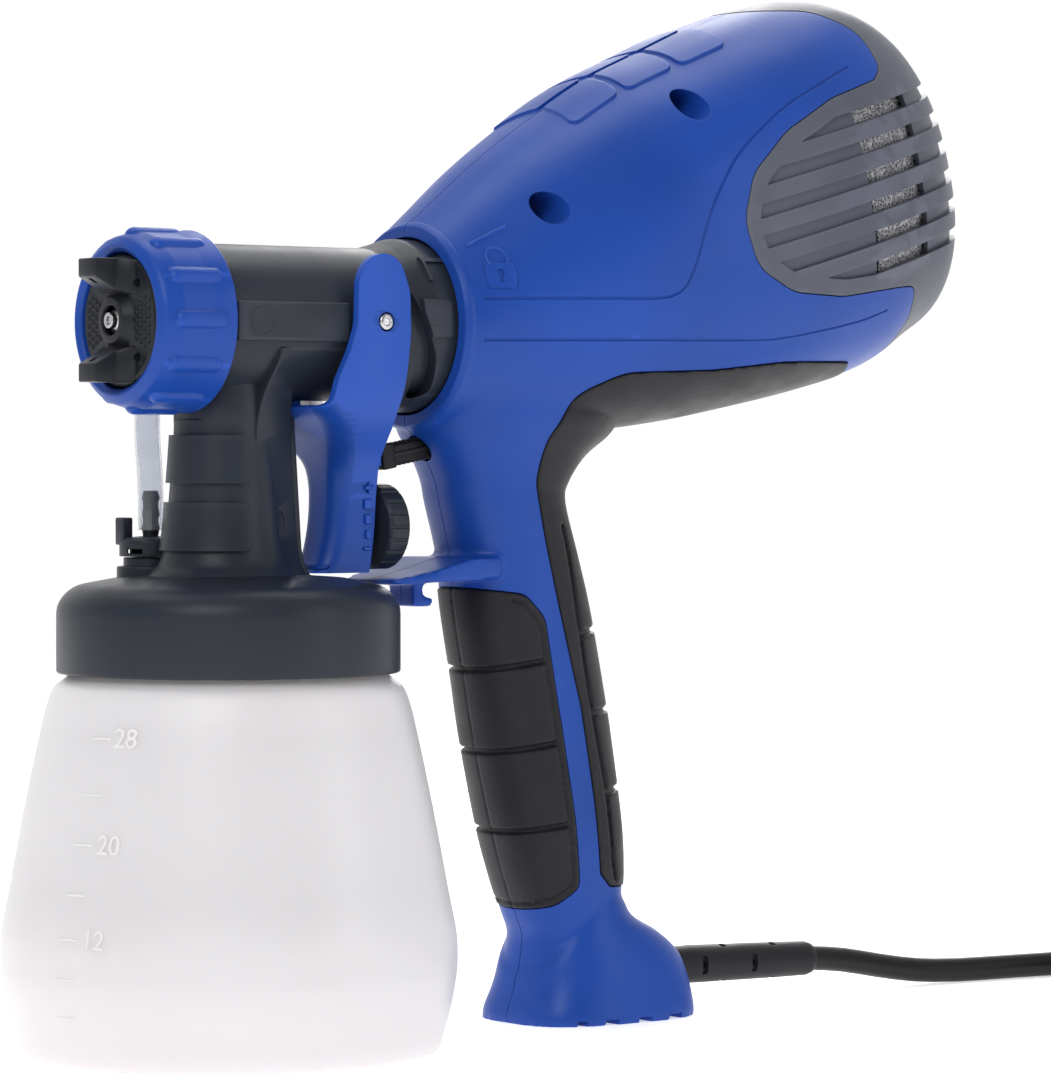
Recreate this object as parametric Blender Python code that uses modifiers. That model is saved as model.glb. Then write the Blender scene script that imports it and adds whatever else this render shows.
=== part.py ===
"""HVLP spray gun: a turbine gun with its motor on board, a paint jar under the head and a mains cord.

The nozzle points to -X, +Z is up and the gun is symmetric about the plane y = 0. The origin is the
centre of the jar's flat base, and the handle's foot stands on the same plane. Sizes are written in
millimetres, and the helpers turn them into metres. The gun's left side is -Y.
"""

import math

import bmesh
import bpy
from mathutils import Euler, Matrix, Vector

MM = 0.001
GAP = 0.3

# Driving dimensions
JAR_R = 61.3
JAR_TOP = 99.6
LID_R = 46.0
LID_TOP = 127.2
BARREL_Z = 194.6
BARREL_R = 21.0
BARREL_FRONT = -13.0
COLLAR_R = 23.8
BORE_R = 24.4
RING_FRONT = -36.0
RING_BACK = -13.4
RING_RIBS = 12
STEM_X = -2.0
VALVE_AT = (-9.3, 23.6, 0.0)
PORT_AT = (-8.8, 25.8)
PIVOT = (34.3, 0.0, 194.9)
KNOB_Z = 139.7
KNOB_R = 11.7
KNOB_FRONT = 45.4
KNOB_BACK = 53.2
PLUNGER_AT = (48.6, 0.0, 158.4)
PLUNGER_TILT = math.radians(10)
WALL = 2.6
GRIP_DEEP = 1.6
GRIP_PROUD = 0.4
MOTOR_AT = (120.0, 0.0, 214.5)
MOTOR_TILT = math.radians(14)
COVER_TILT = math.radians(15)
SCREW_PLACES = ((86.0, 226.8), (132.4, 256.8))
CORD_R = 3.6
RELIEF_AT = (150.0, 0.0, 12.4)
RELIEF_TILT = math.radians(-1.6)
COIL_AT = (347.0, -57.0)
COIL_MEAN_R = 39.5
PLUG_AT = (344.0, -128.0)

PARTS = None
CUTTERS = None

BLUE = ((0.022, 0.060, 0.42), 0.38, 0.0)
GREY = ((0.045, 0.058, 0.072), 0.42, 0.0)
COVER_GREY = ((0.10, 0.12, 0.14), 0.45, 0.0)
BLACK = ((0.018, 0.018, 0.020), 0.55, 0.0)
RUBBER = ((0.030, 0.027, 0.032), 0.62, 0.0)
MILKY = ((0.80, 0.78, 0.77), 0.35, 0.0)
CLEAR = ((0.85, 0.87, 0.90), 0.15, 0.0)
STEEL = ((0.60, 0.61, 0.63), 0.30, 1.0)
BRASS = ((0.72, 0.55, 0.28), 0.35, 1.0)
FOAM = ((0.62, 0.62, 0.63), 0.95, 0.0)


# ---------------------------------------------------------------- helpers


def start_scene():
    """Empties the scene and makes the collection of parts and the collection of cutters."""
    global PARTS, CUTTERS
    for obj in list(bpy.data.objects):
        bpy.data.objects.remove(obj, do_unlink=True)
    PARTS = bpy.data.collections.new("hvlp_spray_gun")
    CUTTERS = bpy.data.collections.new("cutters")
    bpy.context.scene.collection.children.link(PARTS)
    bpy.context.scene.collection.children.link(CUTTERS)


def finish(obj, look):
    """Makes the object a part with its own material."""
    colour, roughness, metallic = look
    material = bpy.data.materials.new(obj.name)
    material.use_nodes = True
    shader = material.node_tree.nodes["Principled BSDF"]
    shader.inputs["Base Color"].default_value = (*colour, 1.0)
    shader.inputs["Roughness"].default_value = roughness
    shader.inputs["Metallic"].default_value = metallic
    obj.data.materials.clear()
    obj.data.materials.append(material)
    CUTTERS.objects.unlink(obj)
    PARTS.objects.link(obj)
    obj.hide_render = False
    obj.display_type = "TEXTURED"
    return obj


def helper(name, data):
    """A new object among the cutters. Every shape starts here, and finish() makes it a part."""
    obj = bpy.data.objects.new(name, data)
    CUTTERS.objects.link(obj)
    obj.hide_render = True
    obj.display_type = "WIRE"
    return obj


def from_bmesh(name, bm, smooth=30):
    mesh = bpy.data.meshes.new(name)
    bmesh.ops.recalc_face_normals(bm, faces=bm.faces)
    bm.to_mesh(mesh)
    bm.free()
    mesh.shade_smooth()
    mesh.set_sharp_from_angle(angle=math.radians(smooth))
    return helper(name, mesh)


def mm(point):
    return Vector(point) * MM


def along(start, tilt, distance):
    """The point at a distance from start, towards +X and lifted by tilt."""
    x, y, z = start
    return x + distance * math.cos(tilt), y, z + distance * math.sin(tilt)


def box(name, low, high):
    """A box between two corners."""
    bm = bmesh.new()
    bmesh.ops.create_cube(bm, size=1.0)
    size = [(b - a) * MM for a, b in zip(low, high)]
    middle = [(a + b) / 2 * MM for a, b in zip(low, high)]
    bmesh.ops.scale(bm, vec=size, verts=bm.verts)
    bmesh.ops.translate(bm, vec=middle, verts=bm.verts)
    return from_bmesh(name, bm)


def rod(name, start, end, radius, radius_end=None, sides=16):
    """A round bar from start to end."""
    start, end = mm(start), mm(end)
    along = end - start
    turn = along.to_track_quat("Z", "Y").to_matrix().to_4x4()
    bm = bmesh.new()
    bmesh.ops.create_cone(
        bm, cap_ends=True, segments=sides, radius1=radius * MM,
        radius2=(radius if radius_end is None else radius_end) * MM, depth=along.length,
    )
    bmesh.ops.transform(bm, matrix=Matrix.Translation((start + end) / 2) @ turn, verts=bm.verts)
    return from_bmesh(name, bm)


def turned(name, profile, at=(0, 0, 0), tilt=None, sides=24):
    """A turned shape. The profile is (radius, height) pairs down the outside, then up the inside.

    Without a tilt the axis is Z. With one, the height runs along +X, lifted by that angle.
    """
    bm = bmesh.new()
    points = [bm.verts.new((r * MM, 0, z * MM)) for r, z in profile]
    hollow = all(r > 0 for r, z in profile)
    for a, b in zip(points, points[1:] + points[:1] if hollow else points[1:]):
        bm.edges.new((a, b))
    mesh = bpy.data.meshes.new(name)
    bm.to_mesh(mesh)
    bm.free()
    obj = helper(name, mesh)
    screw = obj.modifiers.new("Turn", "SCREW")
    screw.steps = sides
    screw.render_steps = sides
    screw.use_merge_vertices = True
    screw.merge_threshold = 0.00001
    screw.use_smooth_shade = False
    obj.location = mm(at)
    if tilt is not None:
        obj.rotation_euler = Euler((0, math.pi / 2 - tilt, 0))
    return obj


def corner_arcs(corners, steps=4):
    """A closed outline from (x, z, radius) corners, each rounded by an arc of its radius."""
    outline = []
    count = len(corners)
    for index, (x, z, radius) in enumerate(corners):
        here = Vector((x, z))
        before = Vector(corners[index - 1][:2]) - here
        after = Vector(corners[(index + 1) % count][:2]) - here
        if radius <= 0:
            outline.append((x, z))
            continue
        before.normalize()
        after.normalize()
        half = before.angle(after) / 2
        centre = here + (before + after).normalized() * radius / math.sin(half)
        touch = here + before * radius / math.tan(half) - centre
        leave = here + after * radius / math.tan(half) - centre
        for step in range(steps + 1):
            spoke = touch.lerp(leave, step / steps).normalized() * radius
            outline.append(tuple(centre + spoke))
    return outline


def prism(name, outline, low, high, plane="XZ"):
    """A flat outline made thick between low and high: along Y, or along Z for an outline in XY."""
    curve = bpy.data.curves.new(name, "CURVE")
    curve.dimensions = "2D"
    curve.fill_mode = "BOTH"
    curve.extrude = (high - low) / 2 * MM
    spline = curve.splines.new("POLY")
    spline.points.add(len(outline) - 1)
    for point, (u, v) in zip(spline.points, outline):
        point.co = (u * MM, v * MM, 0, 1)
    spline.use_cyclic_u = True
    guide = helper(name + "_outline", curve)
    if plane == "XZ":
        guide.rotation_euler = (math.pi / 2, 0, 0)
        guide.location = (0, (low + high) / 2 * MM, 0)
    else:
        guide.location = (0, 0, (low + high) / 2 * MM)
    return meshed(guide, name)


def meshed(guide, name):
    """The mesh of a curve, with its caps welded. The curve is removed."""
    bpy.context.view_layer.update()
    graph = bpy.context.evaluated_depsgraph_get()
    mesh = bpy.data.meshes.new_from_object(guide.evaluated_get(graph))
    bm = bmesh.new()
    bm.from_mesh(mesh)
    bmesh.ops.remove_doubles(bm, verts=bm.verts, dist=0.00001)
    bmesh.ops.recalc_face_normals(bm, faces=bm.faces)
    bmesh.ops.transform(bm, matrix=guide.matrix_world, verts=bm.verts)
    bm.to_mesh(mesh)
    bm.free()
    bpy.data.objects.remove(guide, do_unlink=True)
    mesh.shade_smooth()
    mesh.set_sharp_from_angle(angle=math.radians(30))
    return helper(name, mesh)


def tube(name, points, radius, resolution=2):
    """A round tube along points, as a curve with a bevel."""
    curve = bpy.data.curves.new(name, "CURVE")
    curve.dimensions = "3D"
    curve.bevel_depth = radius * MM
    curve.bevel_resolution = resolution
    curve.use_fill_caps = True
    spline = curve.splines.new("POLY")
    spline.points.add(len(points) - 1)
    for target, point in zip(spline.points, points):
        target.co = (*mm(point), 1)
    return helper(name, curve)


def smooth_path(points, spacing):
    """Points about `spacing` apart on a Catmull-Rom curve through the given ones."""
    route = [Vector(p) for p in points]
    route = [route[0] * 2 - route[1]] + route + [route[-1] * 2 - route[-2]]
    out = []
    for a, b, c, d in zip(route, route[1:], route[2:], route[3:]):
        count = max(1, round((c - b).length / spacing))
        for step in range(count):
            t = step / count
            out.append(
                b + (c - a) * t / 2
                + (a * 2 - b * 5 + c * 4 - d) * t * t / 2
                + (b * 3 - a - c * 3 + d) * t ** 3 / 2
            )
    out.append(route[-2])
    return [tuple(p) for p in out]


def smooth_rows(rows, steps):
    """Rows of numbers with `steps` rows for each given gap, on a Catmull-Rom curve."""
    rows = [tuple(2 * a - b for a, b in zip(rows[0], rows[1]))] + list(rows)
    rows.append(tuple(2 * a - b for a, b in zip(rows[-1], rows[-2])))
    out = []
    for p, q, r, s in zip(rows, rows[1:], rows[2:], rows[3:]):
        for step in range(steps):
            t = step / steps
            out.append(tuple(
                b + (c - a) * t / 2 + (2 * a - 5 * b + 4 * c - d) * t * t / 2
                + (3 * b - a - 3 * c + d) * t ** 3 / 2
                for a, b, c, d in zip(p, q, r, s)
            ))
    out.append(rows[-2])
    return out


def loft(name, rings):
    """A closed body through rings of points, with flat ends."""
    bm = bmesh.new()
    rows = [[bm.verts.new(mm(point)) for point in ring] for ring in rings]
    count = len(rows[0])
    for low, high in zip(rows, rows[1:]):
        for k in range(count):
            n = (k + 1) % count
            bm.faces.new((low[k], low[n], high[n], high[k]))
    bm.faces.new(rows[0])
    bm.faces.new(rows[-1])
    return from_bmesh(name, bm)


def oval(count, power):
    """Points of a unit oval between a circle (power 2) and a rounded square (higher powers)."""
    points = []
    for k in range(count):
        angle = 2 * math.pi * (k + 0.5) / count
        c, s = math.cos(angle), math.sin(angle)
        points.append((
            math.copysign(abs(c) ** (2 / power), c),
            math.copysign(abs(s) ** (2 / power), s),
        ))
    return points


def boolean(obj, other, operation):
    modifier = obj.modifiers.new(operation.title(), "BOOLEAN")
    modifier.operation = operation
    modifier.solver = "EXACT"
    modifier.object = other
    return obj


def cut(obj, *others):
    for other in others:
        boolean(obj, other, "DIFFERENCE")
    return obj


def join(obj, *others):
    for other in others:
        boolean(obj, other, "UNION")
    return obj


def keep(obj, *others):
    for other in others:
        boolean(obj, other, "INTERSECT")
    return obj


def baked(obj, name):
    """A new object with the evaluated mesh, in world space."""
    bpy.context.view_layer.update()
    graph = bpy.context.evaluated_depsgraph_get()
    mesh = bpy.data.meshes.new_from_object(obj.evaluated_get(graph))
    mesh.transform(obj.matrix_world)
    mesh.name = name
    mesh.shade_smooth()
    mesh.set_sharp_from_angle(angle=math.radians(30))
    return helper(name, mesh)


def origin_to(obj, point):
    """Moves a mesh object's origin to a point, leaving its shape where it is."""
    shift = mm(point) - obj.location
    obj.data.transform(Matrix.Translation(-shift))
    obj.location = mm(point)
    return obj


# ---------------------------------------------------------------- jar and head


def build_jar():
    """The jar: a turned wall with a thread bead at the neck, on a solid floor."""
    outside = [
        (39.4, 118.6), (41.4, 118.6), (41.4, 112.5), (42.9, 111.5), (42.9, 109.0), (41.4, 108.0),
        (41.4, 101.6), (44.0, JAR_TOP), (47.3, 96.4), (50.3, 85.7), (54.8, 64.3), (58.8, 42.9),
        (60.9, 32.2), (JAR_R, 26.0), (61.0, 20.0), (59.1, 10.9), (56.6, 0.8), (55.6, 0.0),
    ]
    inside = [(54.6, 2.2), (59.3, 24.0), (57.0, 42.9), (48.5, 85.7), (45.4, 95.4), (39.2, 100.5)]
    wall = turned("jar_wall", outside + inside, sides=28)
    floor = rod("jar_floor", (0, 0, 0.0), (0, 0, 2.2), 55.3, 55.9, sides=28)
    return finish(baked(join(wall, floor), "jar"), MILKY)


def build_jar_inside():
    gasket = turned(
        "jar_gasket",
        [(43.2, 120.6), (43.2, 118.9), (34.0, 118.9), (34.0, 120.6)], sides=32,
    )
    finish(gasket, BLACK)
    pickup = turned(
        "pickup_tube",
        [(3.9, 150.0), (3.9, 6.0), (2.6, 6.0), (2.6, 150.0)], at=(STEM_X, 0, 0), sides=12,
    )
    finish(pickup, CLEAR)


def head_stem():
    """The lid's dome and the stem up to the barrel."""
    lid = turned(
        "lid_form",
        [
            (0, LID_TOP), (19, LID_TOP), (30, 126.4), (39, 124.6), (43.4, 122.6), (45.3, 120.6),
            (LID_R, 118.0), (LID_R, 101.2), (43.9, 101.2), (43.9, 120.9), (0, 121.5),
        ],
        sides=28,
    )
    rows = [
        (123.2, 21.5, 21.0), (127.6, 19.0, 18.4), (130.5, 16.6, 16.2), (136, 15.2, 15.0),
        (150, 13.9, 13.7), (165, 12.9, 12.7), (171, 12.6, 13.0), (180, 10.8, 13.0),
    ]
    rings = [
        [(STEM_X + a * u, b * v, z) for u, v in oval(16, 2.1)] for z, a, b in rows
    ]
    stem = loft("stem_form", rings)
    cut(stem, box("stem_front_cut", (-40, -30, 168.6), (RING_BACK + GAP, 30, 195)))
    fin = prism(
        "fin_form",
        [(0, 124), (24.5, 124), (21.6, 128.5), (20.6, 132), (18.2, 172), (14, 182), (0, 184)], -5, 5,
    )
    return lid, stem, fin


def stem_bands():
    """Two raised label bands round the front of the stem."""
    bands = []
    for number, (low, high, radius) in enumerate(((133.9, 146.7, 15.9), (151.8, 164.6, 14.5))):
        band = turned(
            f"band_form_{number}",
            [(0, high), (radius, high), (radius + 0.6, low), (0, low)], at=(STEM_X, 0, 0), sides=20,
        )
        rear = box(f"band_rear_{number}", (STEM_X + 4.0, -30, low - 1), (30, 30, high + 1))
        right = box(f"band_right_{number}", (-40, 11.0, low - 1), (31, 31, high + 1))
        bands.append(cut(band, rear, right))
    return bands


def barrel():
    """The barrel, its raised side panels and the twist-lock collar."""
    tube_form = turned(
        "barrel_form",
        [
            (0, 74.0), (21.6, 74.0), (21.6, 61.6), (COLLAR_R, 61.0), (COLLAR_R, 53.0), (BARREL_R, 44.0),
            (BARREL_R, BARREL_FRONT), (19.4, BARREL_FRONT - 0.1), (19.4, -27.6), (18.0, -28.6),
            (0, -28.6),
        ],
        at=(0, 0, BARREL_Z), tilt=0.0, sides=24,
    )
    panels = box("panel_form", (-11.5, -BARREL_R - 0.7, 189.4), (24.6, BARREL_R + 0.7, 199.8))
    port = box("port_form", (PORT_AT[0] - 3.6, 14.0, 184.4), (PORT_AT[0] + 3.6, PORT_AT[1] + 3.4, 192.6))
    barb = turned(
        "port_barb", [(0, 185.0), (1.9, 185.0), (1.9, 179.0), (1.6, 178.0), (0, 178.0)],
        at=(*PORT_AT, 0), sides=10,
    )
    return tube_form, panels, port, barb


def build_head():
    lid, stem, fin = head_stem()
    tube_form, panels, port, barb = barrel()
    valve_seat = turned(
        "seat_form", [(0, 131.6), (7.4, 131.6), (7.4, 129.4), (9.2, 129.2), (9.2, 122), (0, 122)],
        at=VALVE_AT, sides=24,
    )
    join(tube_form, stem, lid, fin, panels, port, barb, valve_seat, *stem_bands())
    bore = turned(
        "bore_cut",
        [(0, 80), (16.5, 80), (16.5, 2.0), (5.4, 2.0), (5.4, -15.0), (16.0, -15.0), (16.0, -40), (0, -40)],
        at=(0, 0, BARREL_Z), tilt=0.0, sides=20,
    )
    riser = rod("riser_cut", (STEM_X, 0, 100), (STEM_X, 0, 150.4), 4.2, sides=20)
    riser_top = rod("riser_top_cut", (STEM_X, 0, 150.2), (STEM_X, 0, 192), 2.8, sides=20)
    valve_way = rod("valve_way_cut", (*VALVE_AT[:2], 100), (*VALVE_AT[:2], 140), 3.0, sides=12)
    slot = box("slot_cut", (20.5, -3.4, 165), (38, 3.4, 184))
    cut(tube_form, bore, riser, riser_top, valve_way, slot)
    air_ways = [
        rod(
            f"air_way_cut_{k}",
            (-20, 12 * math.cos(a), BARREL_Z + 12 * math.sin(a)),
            (6, 12 * math.cos(a), BARREL_Z + 12 * math.sin(a)), 2.2, sides=10,
        )
        for k, a in enumerate(math.radians(30 + 60 * n) for n in range(6))
    ]
    cut(tube_form, *air_ways)
    head = baked(tube_form, "spray_head")
    return finish(origin_to(head, (0, 0, BARREL_Z)), GREY)


def build_nozzle():
    nozzle = turned(
        "fluid_nozzle",
        [
            (2.6, -38.2), (2.6, -36.4), (6.0, -33.0), (8.0, -32.6), (8.0, -15.4), (5.0, -15.2), (5.0, -8.0),
            (3.2, -8.0), (3.2, -30.0), (1.4, -36.0), (1.4, -38.2),
        ][::-1],
        at=(0, 0, BARREL_Z), tilt=0.0, sides=16,
    )
    finish(nozzle, STEEL)
    nut = turned(
        "packing_nut",
        [(5.1, 12.6), (5.1, 2.4), (4.9, 2.4), (4.9, -1.0), (2.0, -1.0), (2.0, 12.6)],
        at=(0, 0, BARREL_Z), tilt=0.0, sides=6,
    )
    finish(nut, BRASS)


def build_needle():
    """The needle slides along the barrel. Its post comes down into the trigger's channel."""
    shaft = turned(
        "needle_form",
        [(0, 40.0), (1.6, 40.0), (1.6, -32.0), (0.9, -37.6), (0, -37.6)],
        at=(0, 0, BARREL_Z), tilt=0.0, sides=16,
    )
    carrier = turned(
        "carrier_form", [(0, 32.0), (5.5, 32.0), (5.5, 24.0), (0, 24.0)],
        at=(0, 0, BARREL_Z), tilt=0.0, sides=16,
    )
    post = box("post_form", (25.2, -2.4, 168.6), (29.2, 2.4, BARREL_Z))
    needle = baked(join(shaft, carrier, post), "needle")
    finish(origin_to(needle, (0, 0, BARREL_Z)), STEEL)


def coil_spring(name, start, direction, length, radius, wire, turns, look):
    """A helical wire spring, round a line from start."""
    along = Vector(direction).normalized()
    side = along.orthogonal().normalized()
    other = along.cross(side)
    count = turns * 6
    points = []
    for k in range(count + 1):
        angle = 2 * math.pi * k / 6
        centre = Vector(start) + along * length * k / count
        points.append(tuple(centre + (side * math.cos(angle) + other * math.sin(angle)) * radius))
    finish(meshed(tube(name, points, wire, 0), name), look)


def build_cap_ring():
    ring = turned(
        "ring_form",
        [
            (24.4, RING_BACK), (23.4, -20.0), (23.4, -30.0), (22.4, -34.0), (19.6, RING_FRONT),
            (18.0, -34.6), (18.0, -29.4), (19.8, -29.4), (19.8, RING_BACK),
        ],
        at=(0, 0, BARREL_Z), tilt=0.0, sides=28,
    )
    for k in range(RING_RIBS):
        angle = 2 * math.pi * k / RING_RIBS
        spoke = Vector((0, math.cos(angle), math.sin(angle)))
        foot = Vector((0, 0, BARREL_Z)) + spoke * 22.2
        rib = rod(
            f"rib_form_{k}", foot + Vector((-31.6, 0, 0)), foot + Vector((-14.6, 0, 0)), 2.5, sides=8,
        )
        join(ring, rib)
    whole = baked(ring, "cap_ring")
    finish(origin_to(whole, (0, 0, BARREL_Z)), BLUE)


def build_air_cap():
    """The air cap: a disc with a cone boss, two horns above and below, and its air holes."""
    disc = turned(
        "disc_form",
        [
            (17.5, -34.0), (17.5, -30.2), (17.6, -29.8), (15.4, -29.8), (15.4, -32.8), (6.6, -33.2),
            (4.0, -36.6), (4.0, -37.6), (5.8, -37.4), (8.2, -34.9), (16.6, -34.7),
        ],
        at=(0, 0, BARREL_Z), tilt=0.0, sides=28,
    )
    for side in (1, -1):
        horn = loft(
            f"horn_form_{side}",
            [
                [(x, y, BARREL_Z + side * z) for x, y, z in section]
                for section in (
                    [(-33.8, -9.4, 8.0), (-33.8, 9.4, 8.0), (-33.8, 7.4, 15.6), (-33.8, -7.4, 15.6)],
                    [(-37.6, -4.6, 7.6), (-37.6, 4.6, 7.6), (-37.6, 4.4, 16.2), (-37.6, -4.4, 16.2)],
                    [(-44.8, -4.2, 11.2), (-44.8, 4.2, 11.2), (-44.8, 4.0, 16.2), (-44.8, -4.0, 16.2)],
                )
            ],
        )
        join(disc, horn)
        for reach in (9.4, 12.4):
            tip = (-41.4 + (reach - 9.4) * -0.2, 0, BARREL_Z + side * (reach + 2.0))
            way = (tip[0] - 4.0, 0, BARREL_Z + side * (reach - 5.0))
            hole = rod(f"horn_cut_{side}_{reach}", tip, way, 0.8, sides=8)
            cut(disc, hole)
    for y in (-8.8, 8.8):
        for z in (-9.8, 9.8):
            cut(disc, rod(
                f"hole_cut_{y}_{z}", (-40, y, BARREL_Z + z), (-28, y, BARREL_Z + z), 1.2, sides=10,
            ))
    cap = baked(disc, "air_cap")
    finish(origin_to(cap, (0, 0, BARREL_Z)), GREY)


def build_valve():
    """The one-way valve on the lid, whose cap carries the barb of the clear air tube."""
    x, y = VALVE_AT[:2]
    cap = turned(
        "valve_form",
        [
            (0, 149.6), (1.5, 149.6), (2.0, 148.4), (2.0, 145.4), (1.7, 145.2), (1.7, 141.4), (2.1, 141.2),
            (2.1, 137.4), (7.6, 137.0), (8.5, 136.2), (8.5, 131.9), (7.9, 131.9), (7.9, 133.8), (0, 133.8),
        ],
        at=VALVE_AT, sides=16,
    )
    lever = box("lever_form", (x - 8.3, y + 1.0, 135.0), (x - 5.0, y + 5.0, 142.4))
    way = rod("barb_cut", (x, y, 132), (x, y, 152), 0.9, sides=8)
    whole = baked(cut(join(cap, lever), way), "valve_cap")
    finish(origin_to(whole, VALVE_AT), GREY)
    disc = rod("valve_disc", (x, y, 131.9), (x, y, 132.7), 5.6, sides=16)
    finish(disc, RUBBER)
    route = smooth_path(
        [
            (x, y, 139.0), (x, y, 148.0), (x, y + 0.6, 156.0), (x + 0.2, y + 1.9, 165.0),
            (*PORT_AT, 174.0), (*PORT_AT, 184.0),
        ],
        6.0,
    )
    outer = meshed(tube("tube_form", route, 3.5, 2), "tube_form")
    inner_route = [(x, y, 136.0)] + route + [(*PORT_AT, 187.0)]
    inner = meshed(tube("tube_cut", inner_route, 2.8, 2), "tube_cut")
    finish(baked(cut(outer, inner), "air_tube"), CLEAR)


# ---------------------------------------------------------------- trigger


def trigger_section(z, front, back, half, wall):
    """One level of the trigger, open at the back: outer corners, then inner ones."""
    chamfer = min(half * 0.45, 5.0)
    return [
        (front, -half + chamfer, z), (front, half - chamfer, z), (front + chamfer, half, z), (back, half, z),
        (back, half - wall, z), (front + chamfer + wall * 0.4, half - wall, z),
        (front + wall, half - chamfer - wall * 0.4, z), (front + wall, -half + chamfer + wall * 0.4, z),
        (front + chamfer + wall * 0.4, -half + wall, z), (back, -half + wall, z), (back, -half, z),
        (front + chamfer, -half, z),
    ]


TRIGGER_ROWS = [
    # height, front, back, half width
    (127.3, 24.0, 41.2, 7.6),
    (132.0, 27.0, 42.0, 7.8),
    (145.0, 29.4, 43.2, 8.0),
    (154.0, 29.2, 43.4, 9.4),
    (161.0, 27.4, 42.2, 13.4),
    (167.0, 23.4, 40.4, 19.6),
    (170.0, 20.6, 39.2, 23.2),
    (172.0, 19.0, 38.4, 24.7),
]


def build_trigger():
    rows = smooth_rows(TRIGGER_ROWS, 2)
    channel = loft("channel_form", [trigger_section(*row, 2.4) for row in rows])
    ear_outline = corner_arcs(
        [
            (19.2, 171.2, 0), (38.2, 171.2, 0), (41.8, 183.0, 12), (42.2, 202.0, 12), (36.8, 213.8, 5),
            (27.4, 213.8, 5), (25.4, 196.0, 14), (20.4, 182.0, 14),
        ],
        steps=4,
    )
    trigger = channel
    for side in (1, -1):
        low, high = sorted((side * 22.0, side * 24.8))
        join(trigger, prism(f"ear_form_{side}", ear_outline, low, high))
    crossbar = box("crossbar_form", (39.0, -9.6, 156.2), (41.4, 9.6, 161.8))
    pad = box("pad_form", (40.4, -3.6, 156.2), (PLUNGER_AT[0] - 0.5, 3.6, 160.6))
    nut = box("nut_form", (30.6, -7.0, 134.0), (39.0, 7.0, 145.4))
    pivot_way = rod("pivot_cut", (PIVOT[0], -30, PIVOT[2]), (PIVOT[0], 30, PIVOT[2]), 2.6, sides=20)
    screw_way = rod("screw_cut", (33.0, 0, KNOB_Z), (44, 0, KNOB_Z), 3.0, sides=16)
    cut(join(trigger, crossbar, pad, nut), pivot_way, screw_way)
    whole = baked(trigger, "trigger")
    finish(origin_to(whole, PIVOT), BLUE)


def build_trigger_hardware():
    for name, side in (("trigger_pin_left", -1), ("trigger_pin_right", 1)):
        start = (PIVOT[0], side * (BARREL_R + GAP), PIVOT[2])
        finish(rod(name, start, (PIVOT[0], side * 25.2, PIVOT[2]), 2.2), STEEL)
    knob = turned(
        "knob_form",
        [
            (0, KNOB_BACK), (9.4, KNOB_BACK), (KNOB_R, KNOB_BACK - 1.6), (KNOB_R, KNOB_FRONT + 0.8),
            (10.8, KNOB_FRONT), (4.0, KNOB_FRONT), (4.0, 40.0), (0, 40.0),
        ],
        at=(0, 0, KNOB_Z), tilt=0.0, sides=20,
    )
    for k in range(10):
        angle = math.radians(36 * k)
        groove = rod(
            f"groove_cut_{k}",
            (KNOB_FRONT - 1, KNOB_R * math.cos(angle), KNOB_Z + KNOB_R * math.sin(angle)),
            (KNOB_BACK + 1, KNOB_R * math.cos(angle), KNOB_Z + KNOB_R * math.sin(angle)), 0.6, sides=5,
        )
        cut(knob, groove)
    socket = rod("socket_cut", (38, 0, KNOB_Z), (48, 0, KNOB_Z), 2.8, sides=16)
    whole = baked(cut(knob, socket), "flow_knob")
    finish(origin_to(whole, (KNOB_FRONT, 0, KNOB_Z)), GREY)
    screw = rod("knob_screw", (33.4, 0, KNOB_Z), (47.6, 0, KNOB_Z), 2.4, sides=16)
    finish(screw, STEEL)


# ---------------------------------------------------------------- housing


BODY_ROWS = [
    # centre x, centre z, tilt in degrees, half height, half width, power, share of the end offset
    (59.0, 194.6, 0.0, 27.0, 27.0, 2.0, 0.0),
    (60.6, 194.6, 0.0, 28.6, 28.4, 2.0, 0.0),
    (72.0, 198.4, 3.0, 32.6, 31.6, 2.05, 0.0),
    (88.0, 203.6, 6.0, 38.2, 36.4, 2.15, 0.0),
    (108.0, 209.4, 9.0, 44.0, 42.0, 2.25, 0.0),
    (130.0, 216.2, 12.4, 48.8, 46.4, 2.3, 0.0),
    (152.0, 222.6, 14.6, 51.6, 48.6, 2.35, 0.0),
    (176.0, 230.0, 15.0, 54.2, 48.6, 2.4, 0.1),
    (198.0, 236.5, 14.8, 55.0, 46.0, 2.4, 0.3),
    (213.0, 241.2, 15.0, 52.0, 42.0, 2.4, 0.6),
    (226.5, 242.8, 15.0, 46.4, 36.4, 2.4, 0.85),
    (236.0, 243.6, 15.0, 37.0, 28.4, 2.3, 1.0),
    (241.6, 244.2, 15.0, 23.0, 17.6, 2.2, 1.0),
]

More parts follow.
